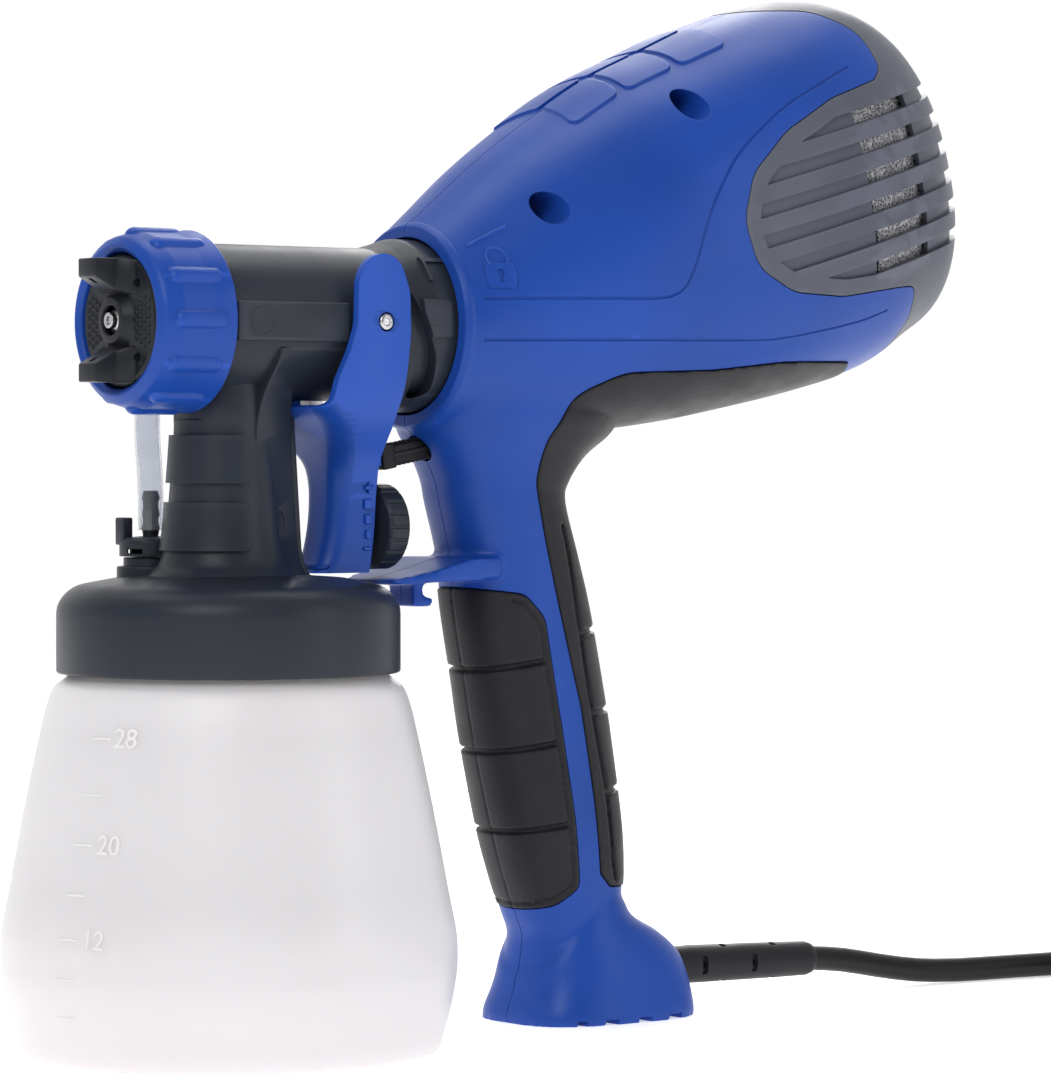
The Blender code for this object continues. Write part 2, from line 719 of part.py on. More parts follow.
HANDLE_ROWS = [
    # height, centre x, half depth, half width, power
    (178.0, 94.0, 30.5, 24.0, 2.2),
    (170.0, 94.0, 33.0, 24.6, 2.2),
    (165.0, 93.0, 32.0, 22.0, 2.2),
    (159.0, 90.8, 25.6, 19.2, 2.3),
    (152.0, 89.6, 20.6, 17.8, 2.4),
    (146.0, 89.6, 19.2, 17.4, 2.4),
    (131.0, 93.9, 19.7, 17.0, 2.4),
    (117.0, 96.8, 21.2, 16.8, 2.4),
    (97.0, 100.9, 21.5, 17.0, 2.4),
    (78.5, 104.4, 21.4, 17.6, 2.4),
    (55.0, 109.0, 20.1, 18.0, 2.4),
    (42.0, 111.4, 18.4, 17.4, 2.4),
    (34.0, 112.8, 17.0, 16.4, 2.4),
    (29.0, 115.0, 17.4, 16.2, 2.4),
    (24.4, 120.2, 20.6, 17.2, 2.5),
    (18.0, 123.6, 24.8, 19.2, 2.6),
    (10.0, 124.4, 26.8, 20.8, 2.8),
    (3.4, 123.6, 28.4, 21.8, 3.0),
    (0.0, 123.4, 28.6, 22.0, 3.0),
]


def body_form(name, offset, first=0, steps=1, sides=18):
    """The motor body, grown by offset, from row `first` of its sections."""
    rings = []
    for cx, cz, tilt, high, wide, power, end in smooth_rows(BODY_ROWS[first:], steps):
        s, c = math.sin(math.radians(tilt)), math.cos(math.radians(tilt))
        cx += offset * end * math.cos(COVER_TILT)
        cz += offset * end * math.sin(COVER_TILT)
        rings.append([
            (cx - s * v * (high + offset), u * (wide + offset), cz + c * v * (high + offset))
            for u, v in oval(sides, power)
        ])
    return loft(name, rings)


def handle_form(name, offset, lowest=0.0, highest=200.0, steps=1, sides=14):
    """The handle and the foot, grown by offset, between two heights."""
    rings = []
    for z, cx, deep, wide, power in smooth_rows(HANDLE_ROWS, steps):
        if z < lowest or z > highest:
            continue
        rings.append([
            (cx + u * (deep + offset), v * (wide + offset), z) for u, v in oval(sides, power)
        ])
    return loft(name, rings)


def grown_outline(corners, amount):
    """The corner list, pushed outwards by an amount, for the pocket that a piece sits in."""
    middle = Vector((sum(c[0] for c in corners), sum(c[1] for c in corners))) / len(corners)
    count = len(corners)
    grown = []
    for index, (x, z, radius) in enumerate(corners):
        here = Vector((x, z))
        back = (here - Vector(corners[index - 1][:2])).normalized()
        ahead = (Vector(corners[(index + 1) % count][:2]) - here).normalized()
        normal = Vector((back.y + ahead.y, -back.x - ahead.x))
        if normal.length < 1e-6:
            normal = here - middle
        normal.normalize()
        stretch = 1 / max(0.35, abs(normal.dot(Vector((back.y, -back.x)))))
        grown.append((*(here + normal * amount * stretch * turn_of(corners)), radius))
    return grown


def turn_of(corners):
    """1 for corners that go round counter-clockwise, -1 for clockwise ones."""
    area = sum(
        a[0] * b[1] - b[0] * a[1] for a, b in zip(corners, corners[1:] + corners[:1])
    )
    return 1.0 if area > 0 else -1.0


FRONT_GRIP = [
    (60, 123.4, 0), (60, 31.0, 0), (93.6, 31.3, 3), (101.0, 33.6, 5), (106.8, 38.6, 4), (104.4, 57.6, 30),
    (99.6, 85.6, 60), (94.6, 114.0, 8), (88.0, 120.6, 6), (72.0, 122.8, 6),
]
REAR_GRIP = [
    (204.0, 120.0, 0), (204.0, 182.6, 4), (197.0, 186.0, 5), (166.0, 185.4, 20), (139.4, 182.8, 20),
    (109.0, 181.8, 20), (98.4, 176.4, 10), (92.4, 164.0, 10), (90.8, 152.0, 12), (94.6, 135.7, 20),
    (100.7, 113.4, 20), (107.1, 89.5, 20), (111.4, 63.0, 20), (114.0, 42.0, 3), (118.0, 38.2, 3),
    (140.0, 37.2, 0), (150.0, 60.0, 0),
]
COVER = [
    (262, 168.0, 0), (262, 305.0, 0), (150.0, 305.0, 0), (152.0, 285.4, 0), (170.0, 287.2, 20),
    (188.0, 287.0, 12), (198.0, 281.0, 10), (200.0, 270.4, 4), (196.0, 266.4, 3), (176.5, 259.9, 30),
    (158.0, 249.8, 30), (144.6, 237.4, 14), (140.8, 224.4, 12), (146.0, 211.4, 12), (160.0, 204.9, 20),
    (180.0, 204.2, 30), (204.0, 207.4, 20), (213.4, 208.2, 4), (216.6, 199.0, 8), (214.6, 182.0, 12),
    (210.0, 168.0, 0),
]


def tilted_box(name, low, high, at, tilt):
    """A box whose X runs along +X, lifted by tilt, about a point."""
    block = box(name, low, high)
    block.data.transform(Matrix.Rotation(-tilt, 4, "Y"))
    block.location = mm(at)
    return block


def housing_form():
    """The whole blue moulding before it is split into halves."""
    outer = body_form("housing_form", 0.0)
    handle = handle_form("handle_form", 0.0)
    shelf_outline = corner_arcs(
        [
            (45.8, 123.6, 0.8), (60.0, 124.6, 0), (88.0, 125.6, 0), (88.0, 131.0, 0), (70.0, 131.0, 4),
            (58.0, 127.8, 6), (45.8, 125.0, 0.4),
        ],
        steps=2,
    )
    shelf_plan = corner_arcs(
        [
            (46.6, -12.0, 2), (58.0, -16.6, 8), (72.0, -17.2, 3), (81.0, -15.0, 3), (90.0, 0, 0),
            (81.0, 15.0, 3), (72.0, 17.2, 3), (58.0, 16.6, 8), (46.6, 12.0, 2),
        ],
        steps=2,
    )
    shelf = keep(prism("shelf_form", shelf_outline, -30, 30), prism("shelf_plan", shelf_plan, 110, 140, "XY"))
    hook_outline = corner_arcs(
        [(57.4, 127.0, 0), (57.4, 117.6, 0.8), (64.0, 117.6, 0.8), (64.0, 120.0, 0.6), (60.4, 120.4, 0.6),
         (61.4, 127.0, 0)],
        steps=2,
    )
    hook = prism("hook_form", hook_outline, -6.0, 6.0)
    join(outer, handle, shelf, hook)
    grip_way = cut(
        keep(handle_form("front_pocket", 6.0), prism(
            "front_pocket_side", corner_arcs(grown_outline(FRONT_GRIP, GAP), 2), -40, 40,
        )),
        handle_form("front_pocket_floor", -GRIP_DEEP - GAP),
    )
    cut(outer, grip_way)
    rear_way = rear_skin("rear_pocket", 6.0, -GRIP_DEEP - GAP, GAP)
    cut(outer, rear_way)
    cut(outer, prism("cover_pocket", corner_arcs(grown_outline(COVER, GAP), 2), -70, 70))
    cut(
        outer,
        rod("collar_cut", (50, 0, BARREL_Z), (76, 0, BARREL_Z), BORE_R, sides=28),
        body_form("body_cavity", -WALL, first=2),
        handle_form("handle_cavity", -WALL - 1.4, lowest=28.0, highest=176.0),
        handle_form("foot_cavity", -WALL, lowest=3.4, highest=32.0),
    )
    return outer


def rear_skin(name, outside, inside, grow):
    """The layer of the body and handle that the rear grip fills, or its pocket."""
    outer = join(body_form(name, outside), handle_form(name + "_handle", outside))
    inner = join(body_form(name + "_in", inside), handle_form(name + "_handle_in", inside))
    side = prism(name + "_side", corner_arcs(grown_outline(REAR_GRIP, grow), 2), -70, 70)
    return cut(keep(outer, side), baked(inner, name + "_core"))


def screw_bosses():
    bosses = []
    for number, (x, z) in enumerate(SCREW_PLACES):
        boss = rod(f"boss_{number}", (x, -40.0, z), (x, 40.0, z), 5.6, sides=16)
        bosses.append(keep(boss, body_form(f"boss_end_{number}", -1.0, first=1)))
    return bosses


def build_housing():
    form = housing_form()
    join(form, *screw_bosses())
    for number, (x, z) in enumerate(SCREW_PLACES):
        cut(
            form,
            rod(f"screw_head_cut_{number}", (x, -60, z), (x, -11.6, z), 4.6, sides=20),
            rod(f"screw_shank_cut_{number}", (x, -12, z), (x, 13, z), 2.0, sides=12),
        )
    cut(
        form,
        rod(
            "plunger_cut", along(PLUNGER_AT, PLUNGER_TILT, 6), along(PLUNGER_AT, PLUNGER_TILT, 32), 3.9,
            sides=20,
        ),
        rod("relief_cut", along(RELIEF_AT, RELIEF_TILT, -10), along(RELIEF_AT, RELIEF_TILT, 10), 5.7),
    )
    whole = baked(form, "housing_whole")
    for name, low, high in (("housing_left", -90, -GAP / 2), ("housing_right", GAP / 2, 90)):
        side = box(name + "_side", (0, low, -10), (300, high, 320))
        half = baked(keep(baked(whole, name + "_form"), side), name)
        finish(half, BLUE)


def build_grips():
    grip = cut(
        keep(handle_form("front_grip_form", GRIP_PROUD), prism(
            "front_grip_side", corner_arcs(FRONT_GRIP, 2), -40, 40,
        )),
        handle_form("front_grip_core", -GRIP_DEEP),
    )
    finish(baked(grip, "front_grip"), RUBBER)
    rear = rear_skin("rear_grip_form", GRIP_PROUD, -GRIP_DEEP, 0.0)
    finish(baked(rear, "rear_grip"), RUBBER)


def build_rear_cover():
    cover = keep(body_form("cover_form", 0.0), prism("cover_side", corner_arcs(COVER, 2), -70, 70))
    cut(cover, body_form("cover_cavity", -WALL, first=2))
    for k in range(6):
        middle = (197.0 + 1.8 * k, 0, 258.2 - 8.4 * k)
        slot = tilted_box(f"vent_cut_{k}", (-13, -70, -1.8), (13, 70, 1.8), middle, COVER_TILT)
        cut(cover, slot)
    finish(baked(cover, "rear_cover"), COVER_GREY)


def build_filter():
    foam = body_form("filter_form", -WALL - GAP, first=3)
    core = body_form("filter_core", -WALL - 4.3, first=3)
    slab = tilted_box("filter_side", (-15, -70, -70), (17, 70, 70), (206, 0, 238.5), COVER_TILT)
    finish(baked(cut(keep(foam, slab), core), "air_filter"), FOAM)


def build_screws():
    for number, (x, z) in enumerate(SCREW_PLACES, 1):
        screw = turned(
            f"housing_screw_{number}",
            [(0, 2.4), (3.8, 2.0), (3.8, 0.3), (1.7, 0.2), (1.7, -22.0), (0, -23.0)],
            sides=12,
        )
        screw.location = mm((x, -11.9, z))
        screw.rotation_euler = (math.pi / 2, 0, 0)
        finish(screw, STEEL)


# ---------------------------------------------------------------- motor and switch


def build_motor():
    can = turned(
        "motor_can",
        [(3.4, 70), (14, 70), (23, 68), (24, 66), (24, 20), (22, 18), (3.4, 18)],
        at=MOTOR_AT, tilt=MOTOR_TILT, sides=28,
    )
    finish(can, STEEL)
    shaft = turned(
        "motor_shaft", [(0, 73), (2.6, 73), (2.6, -10), (0, -10)], at=MOTOR_AT, tilt=MOTOR_TILT, sides=12,
    )
    finish(shaft, STEEL)
    for name, place in (("impeller_front", -6.0), ("impeller_rear", 5.0)):
        wheel = turned(
            name,
            [
                (5.0, place + 3.4), (5.2, place + 1.4), (29.8, place + 1.0), (29.8, place - 1.0),
                (2.9, place - 1.4), (2.9, place + 3.4),
            ],
            at=MOTOR_AT, tilt=MOTOR_TILT, sides=20,
        )
        finish(wheel, STEEL)
    casing = turned(
        "turbine_casing",
        [
            (13.0, 14.6), (34.0, 14.6), (34.0, -12.0), (31.0, -15.0), (20.0, -20.0),
            (14.5, -27.0), (14.5, -38.0), (12.5, -38.0), (12.5, -25.0), (17.0, -18.6),
            (32.0, -11.5), (32.0, 12.4), (13.0, 12.4),
        ],
        at=MOTOR_AT, tilt=MOTOR_TILT, sides=20,
    )
    finish(casing, BLACK)
    mount = keep(
        body_form("mount_form", -WALL - 1.6, first=3),
        tilted_box("mount_side", (40, -70, -70), (45, 70, 70), MOTOR_AT, MOTOR_TILT),
    )
    mount_way = turned(
        "mount_cut", [(0, 60), (24.3, 60), (24.3, 30), (0, 30)], at=MOTOR_AT, tilt=MOTOR_TILT, sides=28,
    )
    finish(baked(cut(mount, mount_way), "motor_mount"), BLACK)


def build_switch():
    """The switch plunger that the trigger pushes, its spring and the switch behind it."""

    def bar(name, near, far, radius, sides=12):
        return rod(
            name, along(PLUNGER_AT, PLUNGER_TILT, near), along(PLUNGER_AT, PLUNGER_TILT, far), radius,
            sides=sides,
        )

    head = bar("plunger_form", 0.0, 2.6, 4.3, 16)
    join(
        head, bar("plunger_neck", 2.2, 5.0, 2.4), bar("plunger_bar", 4.6, 26.4, 3.2),
        bar("plunger_tip", 26.2, 29.4, 1.6, 8),
    )
    for k in range(3):
        join(head, bar(f"plunger_rib_{k}", 7.4 + 3.0 * k, 8.6 + 3.0 * k, 3.5))
    plunger = baked(head, "switch_plunger")
    finish(origin_to(plunger, PLUNGER_AT), BLACK)
    direction = (math.cos(PLUNGER_TILT), 0, math.sin(PLUNGER_TILT))
    coil_spring(
        "plunger_spring", along(PLUNGER_AT, PLUNGER_TILT, 34.6), direction, 2.2, 2.3, 0.35, 3, STEEL,
    )
    x, y, z = along(PLUNGER_AT, PLUNGER_TILT, 37.4)
    finish(box("power_switch", (x, -8.0, z - 9.0), (x + 16.0, 8.0, z + 7.0)), BLACK)


# ---------------------------------------------------------------- cord


def cord_route():
    """The stretch of cord from the strain relief to the coil."""
    return [
        (206.8, 0, 10.8), (220.0, 0, 9.4), (234.0, -0.3, 6.8), (248.0, -1.2, 4.6), (263.0, -3.0, 3.7),
        (285.0, -6.6, 3.7), (304.0, -9.8, 3.7), (321.6, -12.2, 3.7),
    ]


def tail_route():
    """The stretch of cord from the coil to the plug."""
    return [
        (391.0, -83.4, 6.0), (391.2, -98.0, 4.4), (387.4, -113.0, 4.8), (376.6, -124.0, 6.6),
        (361.6, -128.0, 8.0),
    ]


def build_cord():
    relief = turned(
        "relief_form",
        [
            (4.4, 56.4), (4.9, 55.0), (5.1, 44.0), (5.4, 10.0), (5.1, 0.4), (5.1, -8.0), (7.2, -8.0),
            (7.2, -11.0), (3.9, -11.0), (3.9, 56.4),
        ],
        at=RELIEF_AT, tilt=RELIEF_TILT, sides=16,
    )
    finish(baked(relief, "strain_relief"), RUBBER)
    finish(tube("power_cord", smooth_path(cord_route(), 12.0), CORD_R, 2), BLACK)
    finish(tube("cord_tail", smooth_path(tail_route(), 12.0), CORD_R, 2), BLACK)
    inner, outer = COIL_MEAN_R - 7.4, COIL_MEAN_R + 7.4
    coil = turned(
        "coil_form",
        [
            (COIL_MEAN_R - 1.0, 29.4), (COIL_MEAN_R + 1.0, 27.0), (COIL_MEAN_R + 2.0, 22.4),
            (outer - 2.2, 22.2), (outer, 20.0), (outer, 4.0), (outer - 2.4, 1.6), (inner + 2.4, 1.6),
            (inner, 4.0), (inner, 27.0), (inner + 2.4, 29.4),
        ],
        at=(*COIL_AT, 0), sides=24,
    )
    finish(baked(coil, "cord_coil"), BLACK)
    x, y = COIL_AT[0] + COIL_MEAN_R, COIL_AT[1]
    tie = box("tie_form", (x - 9.4, y - 5.0, 0.0), (x + 9.4, y + 5.0, 31.2))
    tie_way = box("tie_cut", (x - 8.3, y - 8.0, 1.2), (x + 7.9, y + 8.0, 30.0))
    finish(baked(cut(tie, tie_way), "cord_tie"), BLACK)


def build_plug():
    """The plug lies on its flat side, beside the coil."""
    x, y = PLUG_AT
    sections = [(15.6, 4.6, 4.6, 8.0), (10.0, 5.4, 5.2, 8.0), (2.0, 8.2, 8.0, 8.6), (-14.0, 12.0, 8.8, 9.2)]
    sections.append((-20.0, 12.0, 8.8, 9.2))
    rings = [
        [(x + ahead, y + u * wide, z + v * high) for u, v in oval(16, 3.0)]
        for ahead, wide, high, z in sections
    ]
    body = loft("plug_body", rings)
    for name, side in (("plug_pin_left", -6.4), ("plug_pin_right", 6.4)):
        pin = box(name, (x - 38.0, y + side - 0.8, 6.0), (x - 20.3, y + side + 0.8, 12.4))
        finish(pin, BRASS)
    finish(baked(body, "plug"), BLACK)


def main():
    start_scene()
    build_jar()
    build_jar_inside()
    build_head()
    build_nozzle()
    build_needle()
    coil_spring("needle_spring", (41.0, 0, BARREL_Z), (1, 0, 0), 12.0, 4.6, 0.5, 6, STEEL)
    build_cap_ring()
    build_air_cap()
    build_valve()
    build_trigger()
    build_trigger_hardware()
    build_housing()
    build_grips()
    build_rear_cover()
    build_filter()
    build_screws()
    build_motor()
    build_switch()
    build_cord()
    build_plug()


main()
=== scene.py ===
"""The looks of the HVLP spray gun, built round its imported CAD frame.

Sizes are in millimetres and the helpers turn them into metres. The frame is the CAD's own: the nozzle
points to -X, +Z is up, the gun is symmetric about y = 0, and the origin is the centre of the jar's base.
"""

import math

import bmesh
import bpy
from mathutils import Matrix, Vector
from mathutils.bvhtree import BVHTree


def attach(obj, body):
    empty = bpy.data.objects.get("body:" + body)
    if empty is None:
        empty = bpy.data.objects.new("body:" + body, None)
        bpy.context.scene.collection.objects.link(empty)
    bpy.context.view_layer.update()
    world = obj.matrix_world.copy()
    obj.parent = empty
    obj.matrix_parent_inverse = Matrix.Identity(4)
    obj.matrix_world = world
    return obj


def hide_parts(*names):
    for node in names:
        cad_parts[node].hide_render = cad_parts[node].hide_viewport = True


MM = 0.001
RANGE = ("From Min", "From Max", "To Min", "To Max")

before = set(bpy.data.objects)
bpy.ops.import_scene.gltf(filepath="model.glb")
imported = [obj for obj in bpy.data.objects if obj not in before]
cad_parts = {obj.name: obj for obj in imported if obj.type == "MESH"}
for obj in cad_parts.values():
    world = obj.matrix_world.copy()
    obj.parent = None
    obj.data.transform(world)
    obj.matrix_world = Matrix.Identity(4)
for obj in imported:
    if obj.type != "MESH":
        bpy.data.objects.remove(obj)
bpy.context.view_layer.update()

# The CAD's driving dimensions
LID_R = 46.0
BARREL_Z = 194.6
BARREL_R = 21.0
COLLAR_R = 23.8
STEM_X = -2.0
VALVE_AT = (-9.3, 23.6, 0.0)
PORT_AT = (-8.8, 25.8)
PIVOT = (34.3, 0.0, 194.9)
KNOB_Z = 139.7
KNOB_R = 11.7
KNOB_FRONT = 45.4
KNOB_BACK = 53.2
PLUNGER_AT = (48.6, 0.0, 158.4)
PLUNGER_TILT = math.radians(10)
WALL = 2.6
GRIP_DEEP = 1.6
GRIP_PROUD = 0.4
GAP = 0.3
COVER_TILT = math.radians(15)
SCREW_PLACES = ((86.0, 226.8), (132.4, 256.8))
CORD_R = 3.6
RELIEF_AT = (150.0, 0.0, 12.4)
RELIEF_TILT = math.radians(-1.6)
COIL_AT = (347.0, -57.0)
COIL_MEAN_R = 39.5
PLUG_AT = (344.0, -128.0)

# The camera's place in metres, and where it looks: right of straight ahead, and slightly down
CAMERA_AT = (-0.7113, -1.0394, 0.1606)
CAMERA_YAW = math.radians(38.0)
CAMERA_PITCH = math.radians(1.097)

BODY_ROWS = [
    # centre x, centre z, tilt in degrees, half height, half width, power, share of the end offset
    (59.0, 194.6, 0.0, 27.0, 27.0, 2.0, 0.0),
    (60.6, 194.6, 0.0, 28.6, 28.4, 2.0, 0.0),
    (72.0, 198.4, 3.0, 32.6, 31.6, 2.05, 0.0),
    (88.0, 203.6, 6.0, 38.2, 36.4, 2.15, 0.0),
    (108.0, 209.4, 9.0, 44.0, 42.0, 2.25, 0.0),
    (130.0, 216.2, 12.4, 48.8, 46.4, 2.3, 0.0),
    (152.0, 222.6, 14.6, 51.6, 48.6, 2.35, 0.0),
    (176.0, 230.0, 15.0, 54.2, 48.6, 2.4, 0.1),
    (198.0, 236.5, 14.8, 55.0, 46.0, 2.4, 0.3),
    (213.0, 241.2, 15.0, 52.0, 42.0, 2.4, 0.6),
    (226.5, 242.8, 15.0, 46.4, 36.4, 2.4, 0.85),
    (236.0, 243.6, 15.0, 37.0, 28.4, 2.3, 1.0),
    (241.6, 244.2, 15.0, 23.0, 17.6, 2.2, 1.0),
]
HANDLE_ROWS = [
    # height, centre x, half depth, half width, power
    (178.0, 94.0, 30.5, 24.0, 2.2),
    (170.0, 94.0, 33.0, 24.6, 2.2),
    (165.0, 93.0, 32.0, 22.0, 2.2),
    (159.0, 90.8, 25.6, 19.2, 2.3),
    (152.0, 89.6, 20.6, 17.8, 2.4),
    (146.0, 89.6, 19.2, 17.4, 2.4),
    (131.0, 93.9, 19.7, 17.0, 2.4),
    (117.0, 96.8, 21.2, 16.8, 2.4),
    (97.0, 100.9, 21.5, 17.0, 2.4),
    (78.5, 104.4, 21.4, 17.6, 2.4),
    (55.0, 109.0, 20.1, 18.0, 2.4),
    (42.0, 111.4, 18.4, 17.4, 2.4),
    (34.0, 112.8, 17.0, 16.4, 2.4),
    (29.0, 115.0, 17.4, 16.2, 2.4),
    (24.4, 120.2, 20.6, 17.2, 2.5),
    (18.0, 123.6, 24.8, 19.2, 2.6),
    (10.0, 124.4, 26.8, 20.8, 2.8),
    (3.4, 123.6, 28.4, 21.8, 3.0),
    (0.0, 123.4, 28.6, 22.0, 3.0),
]
FRONT_GRIP = [
    (60, 123.4, 0), (60, 31.0, 0), (93.6, 31.3, 3), (101.0, 33.6, 5), (106.8, 38.6, 4), (104.4, 57.6, 30),
    (99.6, 85.6, 60), (94.6, 114.0, 8), (88.0, 120.6, 6), (72.0, 122.8, 6),
]
REAR_GRIP = [
    (204.0, 120.0, 0), (204.0, 182.6, 4), (197.0, 186.0, 5), (166.0, 185.4, 20), (139.4, 182.8, 20),
    (109.0, 181.8, 20), (98.4, 176.4, 10), (92.4, 164.0, 10), (90.8, 152.0, 12), (94.6, 135.7, 20),
    (100.7, 113.4, 20), (107.1, 89.5, 20), (111.4, 63.0, 20), (114.0, 42.0, 3), (118.0, 38.2, 3),
    (140.0, 37.2, 0), (150.0, 60.0, 0),
]
COVER = [
    (262, 168.0, 0), (262, 305.0, 0), (150.0, 305.0, 0), (152.0, 285.4, 0), (170.0, 287.2, 20),
    (188.0, 287.0, 12), (198.0, 281.0, 10), (200.0, 270.4, 4), (196.0, 266.4, 3), (176.5, 259.9, 30),
    (158.0, 249.8, 30), (144.6, 237.4, 14), (140.8, 224.4, 12), (146.0, 211.4, 12), (160.0, 204.9, 20),
    (180.0, 204.2, 30), (204.0, 207.4, 20), (213.4, 208.2, 4), (216.6, 199.0, 8), (214.6, 182.0, 12),
    (210.0, 168.0, 0),
]


# ---------------------------------------------------------------- camera, light and floor


def look_from_photo():
    """The camera at the photograph's viewing angle: from the left and in front, nearly level."""
    data = bpy.data.cameras.new("camera")
    data.sensor_width = 36.0
    data.lens = 156.67
    data.clip_end = 20.0
    camera = new_object("camera", data)
    level = math.cos(CAMERA_PITCH)
    ahead = Vector((math.sin(CAMERA_YAW) * level, math.cos(CAMERA_YAW) * level, -math.sin(CAMERA_PITCH)))
    camera.location = CAMERA_AT
    camera.rotation_euler = ahead.to_track_quat("-Z", "Y").to_euler()
    bpy.context.scene.camera = camera


def area_light(name, place, target, size, power):
    data = bpy.data.lights.new(name, "AREA")
    data.shape = "RECTANGLE"
    data.size, data.size_y = size
    data.energy = power
    light = new_object(name, data)
    light.location = place
    light.rotation_euler = (Vector(target) - Vector(place)).to_track_quat("-Z", "Y").to_euler()


def studio():
    """A pale floor, a sky that is white behind the gun and dim behind the viewer, and soft lights."""
    world = bpy.data.worlds.new("studio")
    world.use_nodes = True
    tree = world.node_tree
    place = tree.nodes.new("ShaderNodeTexCoord")
    facing = tree.nodes.new("ShaderNodeVectorMath")
    facing.operation = "DOT_PRODUCT"
    facing.inputs[1].default_value = (math.sin(CAMERA_YAW), math.cos(CAMERA_YAW), 0.0)
    tree.links.new(place.outputs["Generated"], facing.inputs[0])
    glow = tree.nodes.new("ShaderNodeMapRange")
    for key, number in zip(RANGE, (-0.1, 0.9, 0.32, 1.02)):
        glow.inputs[key].default_value = number
    tree.links.new(facing.outputs["Value"], glow.inputs["Value"])
    tree.links.new(glow.outputs["Result"], tree.nodes["Background"].inputs["Strength"])
    tree.nodes["Background"].inputs["Color"].default_value = (1, 1, 1, 1)
    bpy.context.scene.world = world
    bpy.context.scene.view_settings.view_transform = "Standard"
    middle = (0.09, 0.0, 0.14)
    area_light("key", (-0.95, -0.75, 1.05), middle, (0.8, 0.8), 8.5)
    area_light("side", (0.75, -1.15, 0.55), middle, (0.4, 1.0), 2.4)
    area_light("top", (0.15, 0.25, 1.2), middle, (1.2, 0.5), 4.5)
    area_light("rim", (0.9, 0.8, 0.7), middle, (0.4, 1.0), 4.5)
    bm = bmesh.new()
    bmesh.ops.create_circle(bm, cap_ends=True, segments=96, radius=9.0)
    mesh = bpy.data.meshes.new("floor")
    bm.to_mesh(mesh)
    bm.free()
    floor = new_object("floor", mesh)
    material = bpy.data.materials.new("floor")
    material.use_nodes = True
    shader = material.node_tree.nodes["Principled BSDF"]
    shader.inputs["Base Color"].default_value = (0.93, 0.93, 0.93, 1)
    shader.inputs["Roughness"].default_value = 0.55
    shader.inputs["Specular IOR Level"].default_value = 0.2
    shader.inputs["Emission Color"].default_value = (1, 1, 1, 1)
    shader.inputs["Emission Strength"].default_value = 0.50
    mesh.materials.append(material)


# ---------------------------------------------------------------- materials


class Nodes:
    """Short calls for building one material's nodes."""

    def __init__(self, name):
        self.material = bpy.data.materials.new(name)
        self.material.use_nodes = True
        self.tree = self.material.node_tree
        self.shader = self.tree.nodes["Principled BSDF"]
        self.place = self.new("ShaderNodeTexCoord").outputs["Object"]

    def new(self, kind, **values):
        node = self.tree.nodes.new(kind)
        for key, value in values.items():
            setattr(node, key, value)
        return node

    def link(self, source, target):
        self.tree.links.new(source, target)

    def noise(self, scale, detail=2.0, roughness=0.5, stretch=None):
        node = self.new("ShaderNodeTexNoise")
        node.inputs["Scale"].default_value = scale
        node.inputs["Detail"].default_value = detail
        node.inputs["Roughness"].default_value = roughness
        place = self.place
        if stretch:
            mapping = self.new("ShaderNodeMapping")
            mapping.inputs["Scale"].default_value = stretch
            self.link(place, mapping.inputs["Vector"])
            place = mapping.outputs["Vector"]
        self.link(place, node.inputs["Vector"])
        return node.outputs["Fac"]

    def ranged(self, value, low, high, to_low, to_high):
        node = self.new("ShaderNodeMapRange")
        self.link(value, node.inputs["Value"])
        for key, number in zip(RANGE, (low, high, to_low, to_high)):
            node.inputs[key].default_value = number
        return node.outputs["Result"]

    def mixed(self, factor, one, two):
        node = self.new("ShaderNodeMix", data_type="RGBA")
        self.link(factor, node.inputs["Factor"])
        for socket, colour in (("A", one), ("B", two)):
            target = [i for i in node.inputs if i.name == socket and i.type == "RGBA"][0]
            if isinstance(colour, tuple):
                target.default_value = (*colour, 1)
            else:
                self.link(colour, target)
        return [o for o in node.outputs if o.type == "RGBA"][0]

    def bump(self, height, strength, distance, under=None):
        node = self.new("ShaderNodeBump")
        node.inputs["Strength"].default_value = strength
        node.inputs["Distance"].default_value = distance
        self.link(height, node.inputs["Height"])
        if under is not None:
            self.link(under, node.inputs["Normal"])
        return node.outputs["Normal"]

    def rounded_edges(self, radius):
        node = self.new("ShaderNodeBevel", samples=4)
        node.inputs["Radius"].default_value = radius
        return node.outputs["Normal"]

    def put(self, socket, value):
        target = self.shader.inputs[socket]
        if isinstance(value, (int, float)):
            target.default_value = value
        elif isinstance(value, tuple):
            target.default_value = (*value, 1)
        else:
            self.link(value, target)


def edge_wear(nodes, colour, lift):
    """The colour, a little paler where the surface turns outwards, as handled edges are."""
    pointy = nodes.new("ShaderNodeNewGeometry").outputs["Pointiness"]
    rubbed = nodes.ranged(pointy, 0.52, 0.60, 0.0, 0.55)
    pale = tuple(min(1.0, c * lift + 0.01) for c in colour)
    return rubbed, pale


